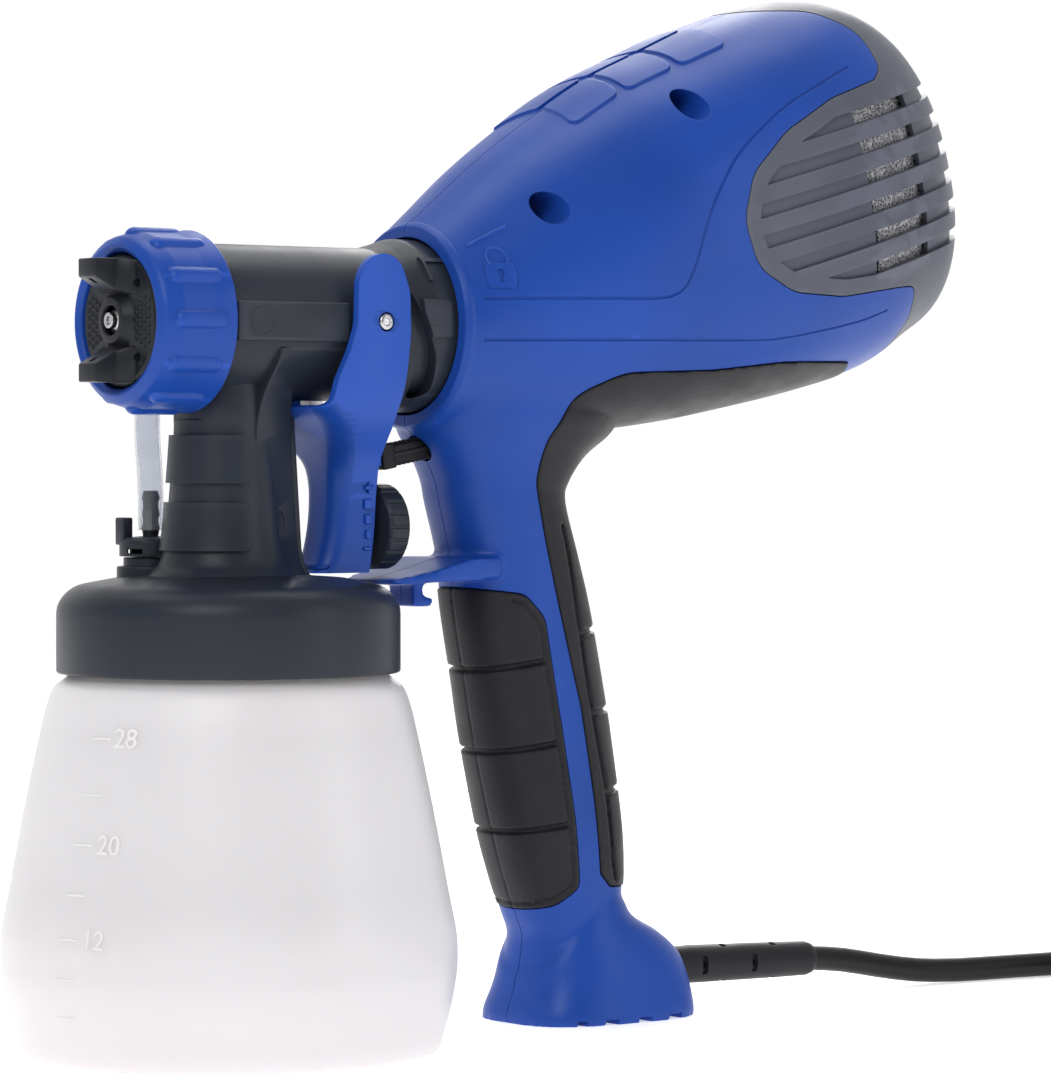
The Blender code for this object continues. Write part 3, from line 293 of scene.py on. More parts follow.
def moulded(name, colour, roughness, grain=1600.0, grain_depth=0.25, lift=1.35, edge=0.35):
    """Moulded plastic: a fine spark-eroded grain, slow colour drift, handled edges and scuffs."""
    nodes = Nodes(name)
    dark = tuple(c * 0.90 for c in colour)
    light = tuple(min(1.0, c * 1.10) for c in colour)
    drift = nodes.mixed(nodes.ranged(nodes.noise(22.0, 3.0), 0.3, 0.7, 0.0, 1.0), dark, light)
    rubbed, pale = edge_wear(nodes, colour, lift)
    nodes.put("Base Color", nodes.mixed(rubbed, drift, pale))
    patch = nodes.noise(60.0, 4.0, 0.6)
    nodes.put("Roughness", nodes.ranged(patch, 0.3, 0.7, roughness - 0.05, roughness + 0.05))
    fine = nodes.noise(grain, 2.0, 0.6)
    nodes.put("Normal", nodes.bump(fine, grain_depth, 0.00006, nodes.rounded_edges(edge * MM)))
    nodes.put("IOR", 1.49)
    nodes.put("Specular IOR Level", 0.26)
    return nodes.material


def rubber(name, colour, roughness):
    """Soft-touch rubber: a coarser grain, with paler patches of dust."""
    nodes = Nodes(name)
    dusty = nodes.ranged(nodes.noise(35.0, 5.0, 0.65), 0.45, 0.75, 0.0, 0.5)
    nodes.put("Base Color", nodes.mixed(dusty, colour, tuple(c * 1.5 + 0.004 for c in colour)))
    nodes.put("Roughness", nodes.ranged(nodes.noise(90.0, 4.0), 0.3, 0.7, roughness - 0.07, roughness + 0.07))
    fine = nodes.noise(2200.0, 3.0, 0.7)
    nodes.put("Normal", nodes.bump(fine, 0.45, 0.00008, nodes.rounded_edges(0.45 * MM)))
    nodes.put("Specular IOR Level", 0.28)
    nodes.put("Sheen Weight", 0.03)
    nodes.put("Sheen Roughness", 0.5)
    return nodes.material


def milky(name, dark, light, scatter):
    """Blow-moulded milky plastic: light scatters inside it, and its skin is faintly rippled."""
    nodes = Nodes(name)
    tone = nodes.ranged(nodes.noise(14.0, 2.0), 0.3, 0.7, 0.0, 1.0)
    nodes.put("Base Color", nodes.mixed(tone, dark, light))
    nodes.put("Subsurface Weight", scatter)
    nodes.shader.inputs["Subsurface Radius"].default_value = (1.0, 0.86, 0.86)
    nodes.put("Subsurface Scale", 0.012)
    nodes.put("Roughness", nodes.ranged(nodes.noise(40.0, 3.0), 0.3, 0.7, 0.30, 0.40))
    ripple = nodes.noise(26.0, 2.0, 0.5, (1.0, 1.0, 0.35))
    soft = nodes.bump(ripple, 0.25, 0.0008)
    nodes.put("Normal", nodes.bump(nodes.noise(900.0, 2.0), 0.12, 0.00006, soft))
    nodes.put("IOR", 1.51)
    return nodes.material


def clear(name):
    """Clear flexible tube."""
    nodes = Nodes(name)
    haze = nodes.ranged(nodes.noise(120.0, 3.0), 0.35, 0.7, 0.04, 0.16)
    nodes.put("Base Color", (0.82, 0.84, 0.89))
    nodes.put("Transmission Weight", 0.9)
    nodes.put("Roughness", haze)
    nodes.put("IOR", 1.45)
    nodes.put("Normal", nodes.bump(nodes.noise(300.0, 2.0), 0.08, 0.0001))
    return nodes.material


def metal(name, colour, roughness):
    """Turned or drawn metal with fine tool marks."""
    nodes = Nodes(name)
    marks = nodes.noise(700.0, 3.0, 0.6, (1.0, 14.0, 14.0))
    stain = nodes.ranged(nodes.noise(120.0, 3.0), 0.4, 0.75, 0.0, 0.6)
    nodes.put("Base Color", nodes.mixed(stain, colour, tuple(c * 0.72 for c in colour)))
    nodes.put("Metallic", 1.0)
    nodes.put("Roughness", nodes.ranged(marks, 0.3, 0.7, roughness - 0.08, roughness + 0.12))
    nodes.put("Normal", nodes.bump(marks, 0.2, 0.00004, nodes.rounded_edges(0.12 * MM)))
    return nodes.material


def foam(name):
    """Open-cell filter foam: pale struts, and cells painted dark as the shade in their holes."""
    nodes = Nodes(name)
    cells = nodes.new("ShaderNodeTexVoronoi", feature="DISTANCE_TO_EDGE")
    cells.inputs["Scale"].default_value = 900.0
    nodes.link(nodes.place, cells.inputs["Vector"])
    cell_shade_and_depth = nodes.ranged(cells.outputs["Distance"], 0.05, 0.30, 0.0, 1.0)
    speckle = nodes.mixed(nodes.ranged(nodes.noise(500.0, 3.0), 0.35, 0.65, 0.0, 1.0),
                          (0.62, 0.61, 0.66), (0.86, 0.85, 0.88))
    # The cells' dark grey is painted shade for the holes in the foam; the same mask gives the cells their
    # depth in the bump.
    nodes.put("Base Color", nodes.mixed(cell_shade_and_depth, speckle, (0.22, 0.21, 0.24)))
    nodes.put("Roughness", 0.95)
    nodes.put("Normal", nodes.bump(cell_shade_and_depth, 1.0, 0.0006))
    return nodes.material


def make_materials():
    return {
        "blue": moulded("blue_plastic", (0.0095, 0.060, 0.345), 0.38, lift=1.5),
        "grey": moulded("dark_grey_plastic", (0.021, 0.0255, 0.036), 0.38, lift=1.7, grain_depth=0.3),
        "cover": moulded("cover_grey_plastic", (0.088, 0.096, 0.125), 0.40, lift=1.5, grain_depth=0.3),
        "black": moulded("black_plastic", (0.008, 0.008, 0.010), 0.44, lift=1.8, grain_depth=0.3),
        "cap": moulded("air_cap_plastic", (0.011, 0.0125, 0.017), 0.34, lift=1.8, grain_depth=0.15),
        "rubber": rubber("grip_rubber", (0.0095, 0.0088, 0.0125), 0.48),
        "sheath": moulded("cord_sheath", (0.008, 0.008, 0.010), 0.40, grain=900.0, lift=1.4, edge=0.2),
        "milky": milky("milky_plastic", (0.92, 0.842, 0.872), (0.95, 0.882, 0.912), 0.55),
        "marks": milky("milky_marks", (0.82, 0.79, 0.80), (0.86, 0.83, 0.84), 0.0),
        "clear": clear("clear_plastic"),
        "steel": metal("steel", (0.60, 0.60, 0.62), 0.28),
        "aluminium": metal("aluminium", (0.66, 0.67, 0.69), 0.38),
        "brass": metal("brass", (0.72, 0.52, 0.24), 0.32),
        "foam": foam("filter_foam"),
    }


# ---------------------------------------------------------------- shapes


def mm(point):
    return Vector(point) * MM


def new_object(name, data):
    obj = bpy.data.objects.new(name, data)
    bpy.context.scene.collection.objects.link(obj)
    return obj


def from_bmesh(name, bm):
    mesh = bpy.data.meshes.new(name)
    bmesh.ops.recalc_face_normals(bm, faces=bm.faces)
    bm.to_mesh(mesh)
    bm.free()
    return new_object(name, mesh)


def smoothed(obj, angle=32):
    obj.data.shade_smooth()
    obj.data.set_sharp_from_angle(angle=math.radians(angle))
    return obj


def baked(obj):
    """Applies the object's modifiers."""
    bpy.context.view_layer.update()
    graph = bpy.context.evaluated_depsgraph_get()
    mesh = bpy.data.meshes.new_from_object(obj.evaluated_get(graph))
    obj.modifiers.clear()
    obj.data = mesh
    return obj


def combined(obj, others, operation):
    for other in others:
        modifier = obj.modifiers.new(operation.title(), "BOOLEAN")
        modifier.operation = operation
        modifier.solver = "MANIFOLD"
        modifier.object = other
    baked(obj)
    for other in others:
        bpy.data.objects.remove(other, do_unlink=True)
    return obj


def cut(obj, *others):
    return combined(obj, others, "DIFFERENCE")


def join(obj, *others):
    return combined(obj, others, "UNION")


def keep(obj, *others):
    return combined(obj, others, "INTERSECT")


def bevelled(obj, width, segments=3, angle=30):
    modifier = obj.modifiers.new("Bevel", "BEVEL")
    modifier.width = width * MM
    modifier.segments = segments
    modifier.limit_method = "ANGLE"
    modifier.angle_limit = math.radians(angle)
    return baked(obj)


def box(name, low, high, soft=0.0):
    bm = bmesh.new()
    bmesh.ops.create_cube(bm, size=1.0)
    bmesh.ops.scale(bm, vec=[(b - a) * MM for a, b in zip(low, high)], verts=bm.verts)
    bmesh.ops.translate(bm, vec=[(a + b) / 2 * MM for a, b in zip(low, high)], verts=bm.verts)
    obj = from_bmesh(name, bm)
    return bevelled(obj, soft) if soft else obj


def along(start, tilt, distance):
    x, y, z = start
    return x + distance * math.cos(tilt), y, z + distance * math.sin(tilt)


def corner_arcs(corners, steps=8):
    """A closed outline from (u, v, radius) corners, each rounded by an arc of its radius."""
    outline = []
    count = len(corners)
    for index, (x, z, radius) in enumerate(corners):
        here = Vector((x, z))
        before = Vector(corners[index - 1][:2]) - here
        after = Vector(corners[(index + 1) % count][:2]) - here
        if radius <= 0:
            outline.append((x, z))
            continue
        before.normalize()
        after.normalize()
        half = before.angle(after) / 2
        centre = here + (before + after).normalized() * radius / math.sin(half)
        touch = here + before * radius / math.tan(half) - centre
        leave = here + after * radius / math.tan(half) - centre
        for step in range(steps + 1):
            spoke = touch.lerp(leave, step / steps).normalized() * radius
            outline.append(tuple(centre + spoke))
    return outline


def grown_outline(corners, amount):
    """The corner list, pushed outwards by an amount."""
    middle = Vector((sum(c[0] for c in corners), sum(c[1] for c in corners))) / len(corners)
    count = len(corners)
    area = sum(a[0] * b[1] - b[0] * a[1] for a, b in zip(corners, corners[1:] + corners[:1]))
    way = 1.0 if area > 0 else -1.0
    grown = []
    for index, (x, z, radius) in enumerate(corners):
        here = Vector((x, z))
        back = (here - Vector(corners[index - 1][:2])).normalized()
        ahead = (Vector(corners[(index + 1) % count][:2]) - here).normalized()
        normal = Vector((back.y + ahead.y, -back.x - ahead.x))
        if normal.length < 1e-6:
            normal = here - middle
        normal.normalize()
        stretch = 1 / max(0.35, abs(normal.dot(Vector((back.y, -back.x)))))
        grown.append((*(here + normal * amount * stretch * way), radius))
    return grown


def prism(name, outline, low, high, plane="XZ"):
    """A flat outline made thick between low and high: along Y, Z or X for an XZ, XY or YZ outline."""
    def at(u, v, w):
        return {"XZ": (u, w, v), "XY": (u, v, w), "YZ": (w, u, v)}[plane]

    return loft(name, [[at(u, v, w) for u, v in outline] for w in (low, high)])


def slab(name, corners, low, high, plane="XZ"):
    """A prism from corners with radii."""
    return prism(name, corner_arcs(corners), low, high, plane)


def loft(name, rings):
    """A closed body through rings of points, with flat ends."""
    bm = bmesh.new()
    rows = [[bm.verts.new(mm(point)) for point in ring] for ring in rings]
    count = len(rows[0])
    for low, high in zip(rows, rows[1:]):
        for k in range(count):
            n = (k + 1) % count
            bm.faces.new((low[k], low[n], high[n], high[k]))
    bm.faces.new(rows[0])
    bm.faces.new(rows[-1])
    return from_bmesh(name, bm)


def turned(name, corners, at=(0, 0, 0), tilt=None, sides=96, steps=4):
    """A turned body from a closed (radius, height, corner radius) outline.

    Without a tilt the axis is Z. With one, the height runs along +X, lifted by that angle.
    """
    outline = corner_arcs([(*c, 0)[:3] for c in corners], steps)
    bm = bmesh.new()
    rings = []
    for r, z in outline:
        if r < 1e-6:
            rings.append([bm.verts.new((0, 0, z * MM))])
            continue
        rings.append([
            bm.verts.new((r * MM * math.cos(a), r * MM * math.sin(a), z * MM))
            for a in (2 * math.pi * k / sides for k in range(sides))
        ])
    for one, two in zip(rings, rings[1:] + rings[:1]):
        for k in range(sides):
            n = (k + 1) % sides
            corner = [one[k % len(one)], one[n % len(one)], two[n % len(two)], two[k % len(two)]]
            face = list(dict.fromkeys(corner))
            if len(face) > 2:
                bm.faces.new(face)
    turn = Matrix.Identity(4) if tilt is None else Matrix.Rotation(math.pi / 2 - tilt, 4, "Y")
    bmesh.ops.transform(bm, matrix=Matrix.Translation(mm(at)) @ turn, verts=bm.verts)
    return from_bmesh(name, bm)


def rod(name, start, end, radius, sides=48):
    """A round bar from start to end."""
    start, end = mm(start), mm(end)
    turn = (end - start).to_track_quat("Z", "Y").to_matrix().to_4x4()
    bm = bmesh.new()
    bmesh.ops.create_cone(
        bm, cap_ends=True, segments=sides, radius1=radius * MM, radius2=radius * MM,
        depth=(end - start).length,
    )
    bmesh.ops.transform(bm, matrix=Matrix.Translation((start + end) / 2) @ turn, verts=bm.verts)
    return from_bmesh(name, bm)


def level_rod(name, start, end, height, radius, sides=48):
    """A round bar along X at a height, in the plane y = 0."""
    return rod(name, (start, 0, height), (end, 0, height), radius, sides)


def level_turned(name, corners, height, sides):
    """A turned body round a level axis at a height: its outline's heights run along X."""
    return turned(name, corners, at=(0, 0, height), tilt=0.0, sides=sides)


def pill(name, start, end, radius):
    """A round bar with rounded ends, from start to end."""
    length = (Vector(end) - Vector(start)).length
    ends = [(0, 0), (radius, 0, radius * 0.8), (radius, length, radius * 0.8), (0, length)]
    obj = turned(name, ends, sides=24)
    turn = (Vector(end) - Vector(start)).to_track_quat("Z", "Y").to_matrix().to_4x4()
    obj.data.transform(Matrix.Translation(mm(start)) @ turn)
    return obj


def smooth_path(points, spacing):
    """Points about `spacing` apart on a Catmull-Rom curve through the given ones."""
    route = [Vector(p) for p in points]
    route = [route[0] * 2 - route[1]] + route + [route[-1] * 2 - route[-2]]
    out = []
    for a, b, c, d in zip(route, route[1:], route[2:], route[3:]):
        count = max(1, round((c - b).length / spacing))
        for step in range(count):
            t = step / count
            out.append(
                b + (c - a) * t / 2
                + (a * 2 - b * 5 + c * 4 - d) * t * t / 2
                + (b * 3 - a - c * 3 + d) * t ** 3 / 2
            )
    out.append(route[-2])
    return [tuple(p) for p in out]


def smooth_rows(rows, steps):
    """Rows of numbers with `steps` rows for each given gap, on a Catmull-Rom curve."""
    rows = [tuple(2 * a - b for a, b in zip(rows[0], rows[1]))] + list(rows)
    rows.append(tuple(2 * a - b for a, b in zip(rows[-1], rows[-2])))
    out = []
    for p, q, r, s in zip(rows, rows[1:], rows[2:], rows[3:]):
        for step in range(steps):
            t = step / steps
            out.append(tuple(
                b + (c - a) * t / 2 + (2 * a - 5 * b + 4 * c - d) * t * t / 2
                + (3 * b - a - 3 * c + d) * t ** 3 / 2
                for a, b, c, d in zip(p, q, r, s)
            ))
    out.append(rows[-2])
    return out


def oval(count, power):
    """Points of a unit oval between a circle (power 2) and a rounded square (higher powers)."""
    points = []
    for k in range(count):
        angle = 2 * math.pi * (k + 0.5) / count
        c, s = math.cos(angle), math.sin(angle)
        points.append((
            math.copysign(abs(c) ** (2 / power), c),
            math.copysign(abs(s) ** (2 / power), s),
        ))
    return points


def wire(name, points, radius, sides):
    """A round bar along points, as a mesh."""
    route = [mm(p) for p in points]
    bm = bmesh.new()
    rings = []
    normal = None
    for before, here, after in zip(route[:1] + route, route, route[1:] + route[-1:]):
        ahead = (after - before).normalized()
        normal = ahead.orthogonal() if normal is None else normal - ahead * normal.dot(ahead)
        normal.normalize()
        across = ahead.cross(normal)
        rings.append([
            bm.verts.new(here + (normal * math.cos(a) + across * math.sin(a)) * radius * MM)
            for a in (2 * math.pi * k / sides for k in range(sides))
        ])
    for one, two in zip(rings, rings[1:]):
        for k in range(sides):
            n = (k + 1) % sides
            bm.faces.new((one[k], one[n], two[n], two[k]))
    bm.faces.new(rings[0])
    bm.faces.new(rings[-1])
    return from_bmesh(name, bm)


def remeshed(obj, size):
    """Voxel remesh, which welds a union into one even skin."""
    modifier = obj.modifiers.new("Remesh", "REMESH")
    modifier.mode = "VOXEL"
    modifier.voxel_size = size * MM
    return baked(obj)


def relaxed(obj, weight, rounds):
    """Smooths the skin where weight(point in mm) is above 0."""
    group = obj.vertex_groups.new(name="relaxed")
    for vertex in obj.data.vertices:
        amount = weight(vertex.co / MM)
        if amount > 0:
            group.add([vertex.index], min(1.0, amount), "REPLACE")
    modifier = obj.modifiers.new("Relax", "SMOOTH")
    modifier.factor = 0.5
    modifier.iterations = rounds
    modifier.vertex_group = "relaxed"
    baked(obj)
    obj.vertex_groups.clear()
    return obj


def skin_of(obj):
    """A tree for finding points on the object's skin."""
    return BVHTree.FromPolygons(
        [v.co.copy() for v in obj.data.vertices], [tuple(p.vertices) for p in obj.data.polygons],
    )


def on_side(tree, x, z, side=-1):
    """The point of the skin seen from the left (-1) or the right (1) at x and z."""
    hit = tree.ray_cast(Vector((x * MM, side * 0.2, z * MM)), Vector((0, -side, 0)))[0]
    return tuple(hit / MM) if hit else None


def done(obj, material, body, replaces=(), angle=32):
    """Shades a piece and ties it to its CAD body."""
    smoothed(obj, angle)
    obj.data.materials.clear()
    obj.data.materials.append(material)
    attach(obj, body)
    if replaces:
        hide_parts(*replaces)
    return obj


# ---------------------------------------------------------------- cord, coil and plug


def eased(share, window):
    """How much of a change is done at this share of a turn, when the window holds all of it."""
    start, end = window
    t = min(1.0, max(0.0, (share - start) / (end - start)))
    return t * t * (3 - 2 * t)


def coil_turns():
    """The turns of the coil, clockwise from its top: out on the floor, in and up, and out again."""
    half_ring = 3.75
    on_floor, layer = 3.7, 7.35
    inner, outer = COIL_MEAN_R - half_ring, COIL_MEAN_R + half_ring
    layers = [on_floor + layer * k for k in range(4)]
    # Each turn's radius and height, and the parts of it in which they change to the next turn's.
    # A strand leaves its place before the strand below comes up into it.
    rise = (0.60, 0.84)
    turns = [
        (outer, layers[0], (0.76, 1.0), (0.76, 1.0)), (inner, layers[0], rise, rise),
        (inner, layers[1], rise, rise), (inner, layers[2], rise, rise),
        (inner, layers[3], (0.30, 0.56), (0.40, 0.62)),
        (outer, layers[2], (0.25, 0.45), (0.25, 0.45)), (outer, layers[1], rise, rise),
    ]
    per_turn = 36
    points = []
    for number, (radius, height, outward, upward) in enumerate(turns):
        last = number == len(turns) - 1
        next_radius, next_height = (radius, height) if last else turns[number + 1][:2]
        for k in range(per_turn // 4 if last else per_turn):
            share = k / per_turn
            angle = math.pi / 2 - 2 * math.pi * share
            r = radius + (next_radius - radius) * eased(share, outward)
            points.append((
                COIL_AT[0] + r * math.cos(angle), COIL_AT[1] + r * math.sin(angle),
                height + (next_height - height) * eased(share, upward),
            ))
    return points


def cord_points():
    """The whole cord: from the strain relief along the floor, round the coil and to the plug."""
    start = [
        (200.0, 0, 11.0), (206.8, 0, 10.8), (220.0, 0, 9.4), (234.0, -0.3, 6.8), (248.0, -1.2, 4.6),
        (263.0, -3.0, 3.7), (285.0, -6.6, 3.7), (304.0, -9.8, 3.7), (321.6, -12.2, 3.7),
        (334.0, -13.3, 3.7),
    ]
    # The tail comes down from the coil, then turns a quarter circle on the floor and enters the plug
    turn = 31.0
    end = [(390.4, -64.0, 10.6), (390.8, -74.0, 8.6), (391.0, -85.0, 6.0)]
    for k in range(7):
        angle = math.radians(15 * k)
        end.append((360.0 + turn * math.cos(angle), -97.0 - turn * math.sin(angle), 4.5 + 0.6 * k))
    end.append((352.0, PLUG_AT[1], 8.2))
    return smooth_path(start, 8.0) + coil_turns() + smooth_path(end, 6.0)


def make_cord(looks):
    points = cord_points()
    curve = bpy.data.curves.new("mains_cord", "CURVE")
    curve.dimensions = "3D"
    curve.bevel_depth = CORD_R * MM
    curve.bevel_resolution = 6
    curve.use_fill_caps = True
    spline = curve.splines.new("POLY")
    spline.points.add(len(points) - 1)
    for target, point in zip(spline.points, points):
        target.co = (*mm(point), 1)
    spline.use_smooth = True
    curve.materials.append(looks["sheath"])
    cord = new_object("mains_cord", curve)
    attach(cord, "gun_body")
    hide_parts("power_cord", "cord_coil", "cord_tail")
    return cord


def make_tie(looks):
    """A hook-and-loop strap round the turns, with its loose end on the outside."""
    x, y = COIL_AT[0] + COIL_MEAN_R, COIL_AT[1]
    outer = corner_arcs([
        (x - 9.4, 0.0, 2.6), (x - 9.4, 31.0, 4.0), (x - 0.6, 31.0, 4.0), (x + 3.0, 24.0, 5.0),
        (x + 9.4, 23.0, 4.0), (x + 9.4, 0.0, 2.6),
    ])
    inner = corner_arcs([
        (x - 8.3, 0.7, 2.0), (x - 8.3, 30.0, 3.4), (x - 1.2, 30.0, 3.4), (x + 2.4, 23.0, 5.0),
        (x + 8.5, 22.2, 3.6), (x + 8.5, 0.7, 2.0),
    ])
    strap = cut(prism("cord_strap", outer, y - 5.0, y + 5.0), prism("cut", inner, y - 9.0, y + 9.0))
    join(strap, box("flap", (x + 8.6, y - 4.6, 4.0), (x + 10.2, y + 4.6, 19.0), 0.4))
    return done(strap, looks["rubber"], "gun_body", ["cord_tie"])


def make_relief(looks):
    """The strain relief: a tapered sleeve with pairs of flexing slots down its length."""
    sleeve = turned("cord_relief", [
        (3.95, 56.4), (4.5, 56.4, 0.4), (5.0, 54.6, 0.8), (5.2, 44.0, 6.0), (5.5, 10.0, 6.0),
        (5.1, 0.4, 0.5), (5.1, -8.0), (7.2, -8.0), (7.2, -11.0), (3.95, -11.0),
    ], at=RELIEF_AT, tilt=RELIEF_TILT)
    cutters = []
    for k, reach in enumerate((12.5, 22.0, 31.5, 41.0)):
        x, _, z = along(RELIEF_AT, RELIEF_TILT, reach)
        turn = k % 2
        for side in (-1, 1):
            low = (x - 1.0, -2.6, z + 3.9) if turn else (x - 1.0, 3.9, z - 2.6)
            high = (x + 1.0, 2.6, z + 8.0) if turn else (x + 1.0, 8.0, z + 2.6)
            slot = box(f"slot_{k}_{side}", low, high, 0.5)
            if side < 0:
                shift = Matrix.Translation((0, 0, 2 * z * MM)) @ Matrix.Scale(-1, 4, (0, 0, 1))
                slot.data.transform(shift if turn else Matrix.Scale(-1, 4, (0, 1, 0)))
                slot.data.flip_normals()
            cutters.append(slot)
    cut(sleeve, *cutters)
    return done(sleeve, looks["rubber"], "gun_body", ["strain_relief"])


def make_plug(looks):
    """A flat two-pin plug with a ribbed neck."""
    x, y = PLUG_AT
    sections = [
        (16.0, 4.4, 4.4, 8.0), (10.0, 5.2, 5.0, 8.0), (6.0, 6.4, 6.0, 8.2), (2.0, 8.2, 7.8, 8.6),
        (-4.0, 10.4, 8.6, 9.1), (-10.0, 11.6, 8.8, 9.2), (-14.0, 12.0, 8.8, 9.2), (-19.2, 12.0, 8.8, 9.2),
        (-20.0, 11.4, 8.2, 9.2),
    ]
    rings = [
        [(x + ahead, y + u * wide, z + v * high) for u, v in oval(64, 3.0)]
        for ahead, wide, high, z in smooth_rows(sections[:-1], 4) + sections[-1:]
    ]
    body = loft("mains_plug", rings)
    grooves = []
    for k in range(4):
        ring = turned("groove", [(4.6, -0.5), (9.0, -0.5), (9.0, 0.5), (4.6, 0.5)],
                      at=(x + 13.6 - 2.4 * k, y, 8.0), tilt=0.0)
        grooves.append(ring)
    cut(body, *grooves)
    return done(body, looks["black"], "gun_body", ["plug"])


# ---------------------------------------------------------------- jar


def jar_outline():
    return smooth_rows([
        (44.0, 99.6), (47.3, 96.2), (50.3, 85.7), (54.8, 64.3), (58.8, 42.9), (60.9, 32.2), (61.3, 26.0),
        (61.0, 20.0), (59.3, 10.9), (57.3, 3.2),
    ], 4)


def jar_radius(z):
    """The jar's outer radius at a height."""
    rows = jar_outline()
    for (r1, z1), (r2, z2) in zip(rows, rows[1:]):
        if z2 <= z <= z1:
            return r2 + (r1 - r2) * (z - z2) / (z1 - z2)
    return rows[-1][0]


def onto_jar(obj, angle, height, lift):
    """Wraps a flat shape (X across, Y up, Z out, in mm) onto the jar's side."""
    for vertex in obj.data.vertices:
        u, v, w = vertex.co / MM
        z = height + v
        r = jar_radius(z) + w + lift
        turn = math.radians(angle) + u / r
        vertex.co = mm((r * math.cos(turn), r * math.sin(turn), z))
    return obj


def make_jar(looks):
    wall = turned("paint_jar", [
        (39.4, 118.6, 0.4), (41.4, 118.6, 0.4), (41.4, 112.5), (42.9, 111.5, 0.3), (42.9, 109.0, 0.3),
        (41.4, 108.0), (41.4, 101.6, 0.8),
        *jar_outline(), (56.2, 0.0, 1.8), (50.0, 0.0, 0.6), (47.0, 1.2, 1.0), (0, 1.6), (0, 3.0),
        (47.0, 3.0, 2), (54.8, 3.2, 2), (59.3, 24.0, 8), (57.0, 42.9, 8), (48.5, 85.7, 8), (45.4, 95.4, 3),
        (39.2, 100.5, 1),
    ], sides=160)
    done(wall, looks["milky"], "jar_body", ["jar"], angle=40)
    heights = (85.8, 71.3, 58.5, 45.6, 34.3, 23.8, 13.6)
    # The scale leans: each mark stands this many degrees round the jar from the one above it
    lean = -0.65
    ticks = None
    for number, height in enumerate(heights):
        tick = box(f"tick_{number}", (-3.2, -0.26, -0.6), (3.2, 0.26, 0.2), 0.08)
        onto_jar(tick, -165.0 + lean * number, height, 0.0)
        ticks = tick if ticks is None else join(ticks, tick)
    ticks.name = "jar_scale"
    done(ticks, looks["marks"], "jar_body")
    for number, text in ((0, "28"), (2, "20"), (4, "12")):
        curve = bpy.data.curves.new("jar_number", "FONT")
        curve.body = text
        curve.size = 7.2 * MM
        curve.extrude = 0.22 * MM
        curve.bevel_depth = 0.06 * MM
        curve.align_x = "LEFT"
        curve.align_y = "CENTER"
        written = new_object(f"jar_number_{text}", curve)
        mesh = bpy.data.meshes.new_from_object(written)
        bpy.data.objects.remove(written, do_unlink=True)
        label = new_object(f"jar_number_{text}", mesh)
        onto_jar(label, -160.5 + lean * number, heights[number], -0.1)
        done(label, looks["marks"], "jar_body")


# ---------------------------------------------------------------- head


def stem_form(name, grow=0.0):
    rows = [
        (123.2, 22.5, 22.0), (127.6, 19.2, 18.6), (130.5, 16.9, 16.5), (136, 15.3, 15.1),
        (150, 14.0, 13.8), (165, 12.9, 12.7), (171, 12.6, 13.0), (180, 10.8, 13.0),
    ]
    return loft(name, [
        [(STEM_X + (a + grow) * u, (b + grow) * v, z) for u, v in oval(96, 2.1)]
        for z, a, b in smooth_rows(rows, 6)
    ])


def gate_mark(name, x, y, z, radius, turn=0.0):
    """The thin ring that a mould's gate leaves on a flat side, which is turned by some degrees."""
    ring = turned(name, [
        (radius - 0.22, -0.5), (radius + 0.22, -0.5), (radius + 0.22, 0.14), (radius - 0.22, 0.14),
    ], sides=48)
    facing = Matrix.Rotation(math.radians(turn), 4, "Z") @ Matrix.Rotation(math.pi / 2, 4, "X")
    ring.data.transform(Matrix.Translation(mm((x, y, z))) @ facing)
    return ring


